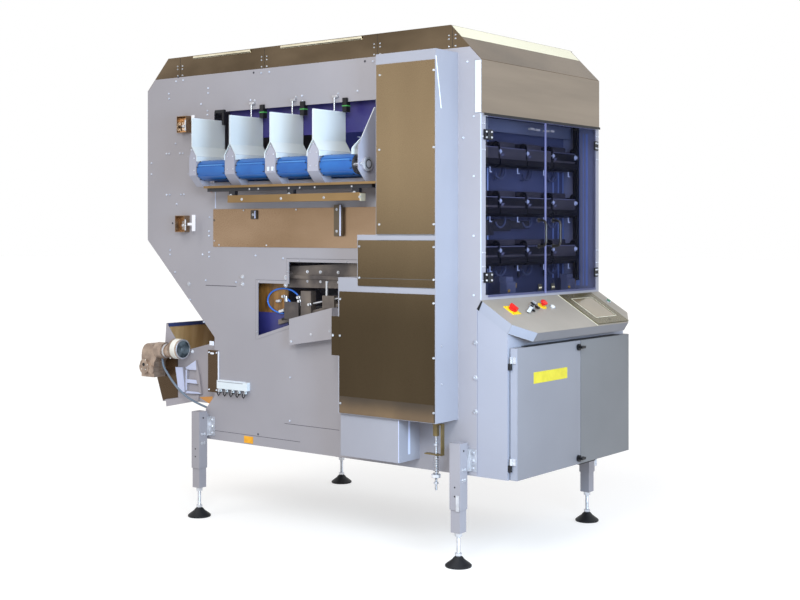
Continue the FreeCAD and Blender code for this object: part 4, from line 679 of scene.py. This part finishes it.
# Four lanes: folded painted troughs between box posts. Blue belts with low cleats run round a
# driven roller shaft, which ends in a bearing on the last plate.
trough_paint = finish("trough_paint", (210, 218, 222), (228, 234, 234), (0.36, 0.48), cloud=2)
dress(trough_paint, "lane_troughs")
dress(finish("post_paint", (158, 158, 172), (170, 170, 184), (0.42, 0.55), cloud=2), "lane_posts")
dress(finish("blue_belting", (26, 86, 160), (34, 102, 176), (0.32, 0.44), cloud=6, grain=700,
             bump=0.02),
      "lane_belts")
dress(finish("shaft_steel", (150, 150, 154), (196, 196, 200), (0.2, 0.32), cloud=30, metal=0.9),
      "lane_drive_shaft")
lane_pitch, first_lane, post_face = 290, 787, -732
drum_x, drum_z, drum_radius, belt_half = -682, 1885, 55, 102
rims, creases, post_screws, cleats, shine = (bmesh.new() for _ in range(5))
bearing, guide, hub = (bmesh.new() for _ in range(3))
for lane in range(4):
    back = first_lane - lane_pitch * lane
    front = back - lane_pitch
    # Painted highlights: pale lines on the troughs' sheet edges and along their top rims.
    for y in (back - 4.2, front + 2.2):
        for x in (-494,) if y < -370 else (-734, -494):
            brick(rims, (x - 1.2, x + 1.2), (y, y + 2), (2012, 2164), 0.3)
        brick(rims, (-606 if y < -370 else -734, -494), (y, y + 2), (2164.6, 2166.4), 0.3)
    for y in (back - 4.6, front + 4):
        brick(creases, (-734, -492), (y, y + 0.6), (2012, 2015))
    for y in (back - 41.5, front + 40.5):
        brick(creases, (-733, -492), (y, y + 1), (1957, 1960))
    low, high = (back + front) / 2 - belt_half, (back + front) / 2 + belt_half
    for x in (-648, -580, -512):
        brick(cleats, (x - 0.5, x + 5.5), (low, low + 9), (1938, 1941.6), 0.4)
        brick(cleats, (x - 0.5, x + 5.5), (high - 9, high), (1938, 1941.6), 0.4)
    for turn in (-58, -19, 19, 58):
        c, s = math.cos(math.radians(turn)), math.sin(math.radians(turn))
        for y in (low, high - 9):
            spot = (drum_x - drum_radius * c, y, drum_z + drum_radius * s)
            slab(cleats, [spot, (spot[0] - 4 * s, y, spot[2] - 4 * c),
                          (spot[0] - 4 * s - 2.4 * c, y, spot[2] - 4 * c + 2.4 * s),
                          (spot[0] - 2.4 * c, y, spot[2] + 2.4 * s)], (0, 9, 0))
    # Painted highlight: a pale blue band across each belt where it turns round the roller.
    brick(shine, (-733.6, -731.4), (low + 14, high - 14), (1906, 1912), 0.6)
for post in range(4):
    y = first_lane - lane_pitch * post
    for z in (1868, 1962):
        brick(creases, (-731.8, -731), (y - 40, y + 36), (z, z + 1.4))
    bolt(post_screws, (post_face, y, 1996), to_lanes, 4.5, False)
    for shift in (-20, 20) if post else (-20,):
        for z in (1950, 1884):
            bolt(post_screws, (post_face, y + shift, z), to_lanes, 3.5, False)
for way in (-1, 1):
    brick(guide, (-738, -732), (207 + 14 * way - 7, 207 + 14 * way + 7), (1866, 1888), 1.5)
turned(bearing, [(34.5, 0), (34.5, 6), (31, 8), (24, 8), (24, 5), (18, 5), (18, 9), (12, 10),
                 (0, 10)], (drum_x, -388, drum_z), to_front, 36)
for x in (drum_x - 38, drum_x + 38):
    bolt(bearing, (x, -381, drum_z), to_front, 6)
for x in (-592, -566):
    bolt(bearing, (x, -378, 2150), to_front, 5)
settle(rims, "trough_rim_highlights", finish("rim_highlight", (230, 238, 250), (244, 248, 254), (0.25, 0.35)))
settle(creases, "trough_creases", finish("crease_shadow", (150, 154, 168), (166, 170, 184),
                                         (0.4, 0.6)))
settle(post_screws, "post_screws", zinc)
settle(cleats, "cleat_tips", black_plastic)
settle(shine, "belt_highlights", finish("belt_highlight_blue", (70, 128, 196), (88, 146, 210), (0.25, 0.35)))
turned(hub, [(23, 8.2), (22, 8.6), (12, 8.2), (0, 8.2)], (drum_x, -388, drum_z), to_front, 28)
settle(hub, "end_bearing_hub", black_plastic)
settle(bearing, "end_bearing_cap", zinc)
settle(guide, "belt_guides", finish("white_guide", (214, 220, 230), (232, 236, 244), (0.3, 0.45)))


# Sensors over and below the lanes: black brackets and slim green-banded sensors on stainless
# rods, two open sensor boxes of brown stainless and a rail on hangers with a folded channel.
green_band = finish("green_band", (60, 150, 70), (84, 176, 92), (0.3, 0.4), cloud=30)
# Painted reflection: the infeed panels' colour darkens towards the bottom, to 0.3 of itself, for
# the darker hall they mirror lower down.
dress(finish("infeed_stainless", (135, 110, 84), (166, 141, 116), (0.22, 0.34), cloud=1.4,
             grain=800, bump=0.01, stretch=(1, 0.6, 1.5), metal=1.0, low=(0.9, 1.45, 0.3)),
      "side_panels")
dress(finish("shelf_stainless", (128, 104, 72), (160, 132, 94), (0.25, 0.36), cloud=2,
             grain=800, bump=0.01, metal=1.0), "lane_shelf_and_channel")
dress(finish("rail_black", (22, 22, 28), (38, 38, 46), (0.3, 0.45), cloud=8), "sensor_rail")
sensors, bands, rods, dots, marks, cone, tags, guard = (bmesh.new() for _ in range(8))
for y in (432, 144, -143):
    brick(sensors, (-566, -536), (y - 15, y + 15), (2158, 2230), 2)
    brick(bands, (-566.8, -536), (y - 15.6, y + 15.6), (2186, 2193), 1)
for y in (506, 210, -77):
    turned(rods, [(4, 0), (4, 76), (0, 77)], (-566, y, 2168), upwards, 12)
    brick(rods, (-572, -plate_face), (y - 20, y + 12), (2234, 2246), 2)
    bolt(dots, (-plate_face, y - 14, 2256), to_lanes, 5)
brick(sensors, (-600, -plate_face), (716, 738), (2200, 2212), 2)
# Painted shade: a dark indigo sheet behind the lanes for the shaded interior seen above them.
brick(guard, (-487, -484), (-425, 745), (2062, 2238))
brick(sensors, (-612, -596), (664, 738), (2196, 2214), 2)
brick(sensors, (-612, -596), (664, 682), (2130, 2198), 2)
for y in (392, 328, 114, 40, -60, -300):
    turned(dots, [(5, 0), (5, 2), (0, 3)], (-695, y, 1779), to_lanes, 12)
for y in (525, 110, -320):
    bolt(dots, (-691, y + 8, 1746), to_lanes, 7)
for y in (466, 188, -100, -330):
    bolt(dots, (-705, y - 28, 1726), to_lanes, 5)
brick(marks, (-706, -664), (-362, -358), (1706, 1744), 1)
for z in (1555, 2107):
    brick(dots, (-596, -593.5), (980, 990), (z + 10, z + 70), 0.6)
    brick(rods, (-560, -556), (1010, 1050), (z + 14, z + 62), 2)
    turned(dots, [(9, 0), (9, 14), (7, 16), (0, 16)], (-558, 1030, z + 38), to_lanes, 16)
turned(cone, [(9, 0), (8, 10), (3, 26), (0, 27)], (-562, 814, 1800), downwards, 16)
for y0, y1, z0, z1 in ((900, 926, 1560, 1650), (906, 930, 2166, 2198), (900, 920, 2130, 2150)):
    brick(tags, (-602, -598), (y0, y1), (z0, z1), 1)
brick(tags, (-601, -599), (922, 960), (1592, 1606))
settle(cone, "drip_cone", finish("orange_plastic", (226, 104, 24), (240, 122, 34), (0.3, 0.45)))
settle(tags, "sensor_box_tags", finish("white_tag", (236, 236, 244), (246, 246, 250), (0.3, 0.4)))
settle(sensors, "lane_sensors", black_plastic)
settle(bands, "sensor_bands", green_band)
settle(guard, "interior_shade_sheet", finish("indigo_sheet", (48, 42, 108), (62, 54, 130),
                                          (0.3, 0.45)))
settle(rods, "sensor_rods", finish("rod_steel", (168, 168, 172), (204, 204, 208), (0.25, 0.35),
                                   metal=0.8))
settle(dots, "rail_screws", zinc)
settle(marks, "channel_end", pale_steel)


# Lane side fittings: the screws of the infeed panel, two clamps that hang below the lanes and
# painted highlights on the clamps' edges.
fit, fit_dark, clamp_highlights = (bmesh.new() for _ in range(3))
for y, z in ((795, 1508), (759, 1486), (403, 1486), (572, 1672), (192, 1672), (-350, 1486)):
    bolt(fit, (-555.5, y, z), to_lanes, 4.5, False)
for y, z in ((174, 1409), (253, 1350), (460, 1293), (474, 1027), (-150, 1408), (-230, 1403)):
    bolt(fit, (-555.5, y, z), to_lanes, 4, False)
turned(fit_dark, [(6, 0), (6, 1), (0, 1.5)], (-555.5, 798, 1620), to_lanes, 12)
brick(fit_dark, (-566, -555.5), (470, 512), (1624, 1672), 2)
brick(fit_dark, (-574, -plate_face), (-125, -78), (1534, 1694), 3)
# Painted highlights: pale lines on the clamps' edges.
brick(clamp_highlights, (-575.5, -574), (-128, -118), (1536, 1692), 0.4)
brick(clamp_highlights, (-568, -566), (474, 482), (1628, 1668), 0.4)
for y, z in ((-100, 1670), (-100, 1560), (492, 1648)):
    bolt(fit, (-574 if y < 0 else -566, y, z), to_lanes, 5)
settle(fit, "panel_bolts", zinc)
settle(fit_dark, "under_lane_clamps", finish("clamp_brown", (64, 54, 44), (92, 78, 60),
                                             (0.35, 0.5)))
settle(clamp_highlights, "clamp_edge_highlights", pale_edge)


# Service opening: the sorting conveyor's cast side rail, sloping track and air cylinders, with a
# blue air hose, bright fittings and two slanted rods. A painted cover hangs over its lower end.
dress(finish("sorter_metal", (78, 72, 72), (128, 118, 110), (0.3, 0.45), cloud=7, metal=0.4),
      "sorting_unit")
dress(paint, "chute_cover")
hose, fittings, slide, darkness, bronze, pale, gold, blue = (bmesh.new() for _ in range(8))
sweep(hose, [(-505, 327 + 116 * math.cos(math.radians(a)), 1192 + 66 * math.sin(math.radians(a)))
             for a in range(150, -91, -12)], 4.5, 10)
sweep(hose, [(-505, 300, 1206), (-505, 270, 1180), (-505, 250, 1150), (-505, 252, 1128)], 4, 10)
for y, z in ((308, 1217), (195, 1196), (202, 1215), (125, 1181)):
    turned(fittings, [(9, 0), (9, 10), (7, 12), (7, 22), (0, 24)], (-516, y, z), to_lanes, 12)
    turned(fittings, [(6, 0), (6, 18), (0, 19)], (-512, y, z - 26), upwards, 10)
turned(fittings, [(7, 0), (7, 84), (0, 85)], (-516, 16, 1220), upwards, 14)
turned(fittings, [(9, 0), (10, 8), (8, 34), (0, 35)], (-512, 300, 1186), (0, 0.1, 1), 14)
turned(fittings, [(8, 0), (8, 30), (0, 31)], (-512, 372, 1190), (0, -1, 0.1), 12)
turned(fittings, [(9, 0), (9, 36), (0, 37)], (-512, 350, 1136), (0, -1, 0.25), 12)
brick(darkness, (-519, -515.5), (204, 300), (1120, 1152), 1)
turned(fittings, [(5, 0), (5, 172), (0, 173)], (-516, 105, 1187), (0, -170, 32), 12)
brick(gold, (-500, -498), (300, 549), (1128, 1300))
slab(blue, [(-500.5, 300, 1030), (-500.5, 549, 960), (-500.5, 549, 1128), (-500.5, 300, 1128)],
     (2, 0, 0))
brick(slide, (-519, -514), (-160, 90), (1166, 1174), 1)
slab(slide, [(-519, 200, 1120), (-519, 330, 1090), (-519, 330, 1102), (-519, 200, 1132)], (5, 0, 0),
     1)
brick(darkness, (-519, -515.5), (130, 190), (1128, 1150), 1)
brick(bronze, (-520, -515.5), (214, 296), (1108, 1178), 4)
brick(bronze, (-519, -515.5), (-30, 30), (1170, 1216), 3)
brick(bronze, (-518.5, -515.5), (-280, -170), (1300, 1330), 2)
for y in (150, 60, -60, -200):
    bolt(pale, (-515.5, y, 1350), to_lanes, 6)
    bolt(pale, (-515.5, y, 1300), to_lanes, 5)
settle(gold, "inner_brown_sheet", finish("golden_brown", (86, 60, 30), (156, 112, 56),
                                         (0.3, 0.45), cloud=9, stretch=(1, 3, 0.6)))
settle(blue, "inner_blue_sheet", finish("ink_blue", (40, 42, 104), (58, 60, 130), (0.3, 0.45)))
settle(hose, "air_hose", finish("blue_hose", (34, 96, 200), (56, 124, 226), (0.25, 0.4)))
settle(fittings, "air_fittings", zinc)
settle(slide, "slide_rails", black_plastic)
settle(darkness, "dark_blocks", black_plastic)
settle(bronze, "cylinder_blocks", finish("bronze_block", (128, 100, 66), (164, 132, 92),
                                         (0.3, 0.45), cloud=14, metal=0.5))
settle(pale, "sorter_bolts", zinc)
cover_bolts = bmesh.new()
for y, z in ((-76, 1058), (186, 992), (50, 1034)):
    bolt(cover_bolts, (-601.5, y, z), to_lanes, 5)
settle(cover_bolts, "cover_bolts", zinc)


# Belt tensioner under the column: a threaded rod with a spring, a knurled knob and a lock nut,
# held by a bronze-painted C bracket.
x, y = -650, -775
nut_shape = [(0, 0), (11, 0), (12, 1), (12, 9), (11, 10), (0, 10)]
coil, bracket, nuts = (bmesh.new() for _ in range(3))
spiral = [(x + 12 * math.cos(a * math.pi / 6), y + 12 * math.sin(a * math.pi / 6), 428 + a * 0.9)
          for a in range(97)]
sweep(coil, spiral, 2, 6)
turned(coil, [(6 if i % 2 else 5.2, 352 + 2.2 * i) for i in range(147)], (x, y, 0), upwards, 12)
knurled = [(20 if i % 2 else 22, 0.5 * (i // 2)) for i in range(4)]
turned(nuts, knurled + [(22, 1), (22, 14), (20, 15), (0, 15)], (x, y, 412), upwards, 24)
for z in (380, 560):
    turned(nuts, nut_shape, (x, y, z), upwards, 6)
brick(bracket, (x - 9, x + 9), (y - 12, y + 12), (605, 675), 1)
brick(bracket, (x - 12, x + 12), (y - 40, y - 34), (516, 664), 1)
brick(bracket, (x - 12, x + 12), (y - 38, y + 60), (516, 522), 1)
brick(bracket, (x - 12, x + 12), (y - 38, y + 14), (658, 664), 1)
settle(coil, "tension_spring", finish("spring_steel", (120, 120, 124), (168, 168, 172), (0.25, 0.4),
                                      metal=0.8), stands_for=("tension_rod",))
settle(nuts, "tension_nuts", zinc)
settle(bracket, "tension_bracket", finish("olive_bronze", (104, 88, 54), (134, 116, 76),
                                          (0.3, 0.45), cloud=12, metal=0.5))


# Rear hopper: a painted pan with a stainless liner, a row of black hooks on a white comb and a
# screwed guard strip. Its discharge is driven by a cast gearmotor with a finned cover.
dress(finish("hopper_paint", (160, 156, 164), (170, 166, 174), (0.42, 0.55), cloud=2),
      "rear_hopper")
dress(finish("comb_white", (214, 224, 232), (234, 240, 246), (0.3, 0.42)), "nozzle_bar")
cast = finish("cast_alloy", (150, 132, 120), (182, 162, 146), (0.35, 0.55), cloud=30, metal=0.6,
              bump=0.3)
dress(cast, "gearmotor")
liner, comb, hooks, strips, casing, ends, frame_face, disc = (bmesh.new() for _ in range(8))
silver, bore, slot, corner = (bmesh.new() for _ in range(4))
brick(slot, (-575.9, -plate_face), (560, 750), (742, 745.4))
slab(liner, [(-466, 1275, 1028), (-466, 1287, 900), (-466, 1352, 714), (-466, 1351, 714),
             (-466, 1286, 900), (-466, 1274, 1028)], (932, 0, 0))
brick(liner, (465, 467), (790, 1270), (606, 1020))
brick(strips, (-460, 460), (1272, 1273.5), (1010, 1030))
brick(comb, (-556.5, -plate_face), (560, 756), (742, 752), 0.5)
for k in range(5):
    y = 737 - 47 * k
    sweep(hooks, [(-575, y - 6, 700), (-577, y - 6, 680), (-577, y + 4, 668), (-576, y + 14, 676),
                  (-575, y + 14, 690)], 3, 8)
    turned(hooks, [(8.4, 0), (8.4, 5), (0, 5)], (-565.5, y, 689), downwards, 14)
for y in (778, 836):
    for z in (692, 896):
        bolt(comb, (-555.5, y, z), to_lanes, 4.5, False)
brick(comb, (-558, -555.5), (758, 768), (684, 904), 0.4)
brick(comb, (-560, -plate_face), (800, 832), (934, 958), 2)
brick(comb, (-560, -plate_face), (800, 826), (886, 896), 2)
bolt(comb, (-470, 1060, 880), to_lanes, 7)
for x, outline in ((-492.4, [(1178, 787), (1118, 790), (1100, 650), (1152, 656)]),
                   (-482.4, [(1105, 788), (1021, 834), (1016, 779), (1092, 779)]),
                   (-482.4, [(1016, 724), (1010, 703), (1092, 703), (1092, 724)]),
                   (-482.4, [(998, 657), (976, 648), (1110, 643), (1092, 657)])):
    slab(frame_face, [(x, y, z) for y, z in outline], (-0.6, 0, 0))
brick(frame_face, (-483, -482.4), (1093, 1104), (660, 776))
# Painted reflection: the stainless liner is a matte warm brown for the warm reflections in its
# mirrored inside.
settle(liner, "hopper_liner", finish("liner_reflection_brown", (206, 164, 110), (246, 212, 158),
                                     (0.25, 0.4), cloud=5, stretch=(3, 1, 0.3)))
settle(frame_face, "bracket_face", pale_edge)
settle(strips, "liner_rim", finish("dark_blue_rim", (48, 60, 110), (70, 84, 140), (0.3, 0.45)))
settle(comb, "comb_bar", finish("white_comb", (216, 222, 236), (234, 238, 248), (0.3, 0.45)))
settle(hooks, "comb_hooks", black_plastic)
axis_x, high, collar_high = -530, 897, 882
boss = (-570, 1358, 797)
turned(ends, [(56, 0), (57, 1), (57, 37), (56, 38)], (axis_x, 1086, high), to_back, 40)
for k in range(3):
    turned(casing, [(57, 0), (57, 3), (50, 3.1), (50, 0)], (axis_x, 1126 + 6 * k, high),
           to_back, 32)
turned(casing, [(37, 0), (39, 1), (39, 8), (37, 9), (37, 0)], (axis_x, 1150, collar_high),
           to_back, 28)
turned(silver, [(55, 0), (55.5, 2), (54, 3), (48, 3.4), (47, 1)], (axis_x, 1075, high), to_front,
       36)
turned(silver, [(40.4, 0), (40.6, 1), (40.6, 14), (40, 15)], (axis_x, 1194, collar_high),
           to_back, 32)
turned(casing, [(30, 0), (30, 2), (24, 3), (24, 1), (0, 1)], boss, to_lanes, 28)
turned(bore, [(10, 1.2), (10, 1.8), (0, 1.8)], boss, to_lanes, 20)
for turn in range(0, 360, 60):
    c, s = math.cos(math.radians(turn)), math.sin(math.radians(turn))
    bolt(ends, (boss[0], boss[1] + 31 * c, boss[2] + 31 * s), to_lanes, 3, False)
    bolt(ends, (axis_x + 42 * c, 1154, collar_high + 42 * s), to_front, 4)
turned(disc, [(48, 0), (48, 1.4), (34, 0.8), (12, 0.8), (10, 2.4), (0, 2.4)],
       (axis_x, 1074, high), to_front, 36)
slab(corner, [(-548, 924, 642), (-548, 818, 654), (-548, 822, 604)], (1, 0, 0))
settle(corner, "drip_corner", finish("orange_sheet", (176, 116, 50), (206, 144, 70), (0.3, 0.45)))
settle(slot, "comb_slot", finish("slot_grey", (140, 142, 156), (156, 158, 172), (0.4, 0.5)))
settle(casing, "motor_fins", cast)
settle(silver, "motor_rims", zinc)
settle(bore, "boss_bore", black_plastic)
settle(disc, "motor_end_disc", finish("dark_disc", (40, 52, 60), (120, 134, 142), (0.15, 0.3),
                                      cloud=26, metal=0.4))
settle(ends, "motor_trim", finish("white_trim", (226, 224, 216), (246, 246, 240), (0.3, 0.42),
                                  cloud=12))


# Studio: a white floor and room, a cool light on the front, a soft one from above and two near
# lamps to the left that brighten the edges towards them.
def seen_by(tree):
    """1 for what the camera, a mirror or a clear sheet sees, 0 for light that falls on a thing."""
    path = tree.nodes.new("ShaderNodeLightPath")
    seen = path.outputs["Is Camera Ray"]
    for kind in ("Is Glossy Ray", "Is Transmission Ray"):
        either = tree.nodes.new("ShaderNodeMath")
        either.operation = "MAXIMUM"
        tree.links.new(seen, either.inputs[0])
        tree.links.new(path.outputs[kind], either.inputs[1])
        seen = either.outputs["Value"]
    return seen


room = bpy.data.worlds.new("room")
scene.world = room
room.use_nodes = True
tree = room.node_tree
fill = tree.nodes["Background"]
fill.inputs["Color"].default_value = (1.0, 0.96, 0.91, 1)
fill.inputs["Strength"].default_value = 0.72
backdrop = tree.nodes.new("ShaderNodeBackground")
backdrop.inputs["Color"].default_value = (1, 1, 1, 1)
choose = tree.nodes.new("ShaderNodeMixShader")
tree.links.new(seen_by(tree), choose.inputs["Fac"])
tree.links.new(fill.outputs["Background"], choose.inputs[1])
tree.links.new(backdrop.outputs["Background"], choose.inputs[2])
tree.links.new(choose.outputs["Shader"], tree.nodes["World Output"].inputs["Surface"])


def lamp(name, come_from, strength, colour, soft):
    """A far soft light that shines from a direction towards the machine."""
    data = bpy.data.lights.new(name, "SUN")
    data.energy = strength
    data.color = colour
    data.angle = math.radians(soft)
    item = bpy.data.objects.new(name, data)
    scene.collection.objects.link(item)
    item.rotation_euler = Vector(come_from).to_track_quat("Z", "Y").to_euler()


lamp("front_light", (0.25, -1, 0.45), 0.65, (0.6, 0.78, 1.0), 30)
lamp("top_light", (-0.75, 0.1, 1), 0.7, (1, 0.97, 0.94), 30)


def near_lamp(name, place, aim, power, size, colour):
    """A soft box that stands near the machine."""
    item = bpy.data.objects.new(name, bpy.data.lights.new(name, "AREA"))
    scene.collection.objects.link(item)
    item.data.energy = power
    item.data.size = size
    item.data.color = colour
    item.location = place
    item.rotation_euler = (Vector(place) - Vector(aim)).to_track_quat("Z", "Y").to_euler()


near_lamp("corner_lamp", (-1.9, -3.2, 1.7), (-0.55, -1.0, 1.3), 84, 1.2, (0.55, 0.76, 1.0))
near_lamp("lane_lamp", (-3.6, -2.2, 2.9), (-0.6, 0.1, 2.0), 75, 1.2, (0.95, 1.0, 1.0))

floor_mesh = bpy.data.meshes.new("floor")
floor_mesh.from_pydata([(-60, -60, 0), (60, -60, 0), (60, 60, 0), (-60, 60, 0)], [], [(0, 1, 2, 3)])
floor = bpy.data.objects.new("floor", floor_mesh)
scene.collection.objects.link(floor)
floor_white = finish("studio_floor", (178, 178, 178), (184, 184, 184), (0.8, 0.9), cloud=0.5)
floor_shader = floor_white.node_tree.nodes["Principled BSDF"]
floor_shader.inputs["Emission Color"].default_value = (1, 1, 1, 1)
glow_level = floor_white.node_tree.nodes.new("ShaderNodeMapRange")
glow_level.inputs["To Max"].default_value = 0.58
floor_white.node_tree.links.new(seen_by(floor_white.node_tree), glow_level.inputs["Value"])
floor_white.node_tree.links.new(glow_level.outputs["Result"],
                                floor_shader.inputs["Emission Strength"])
floor.data.materials.append(floor_white)

scene.view_settings.view_transform = "Standard"
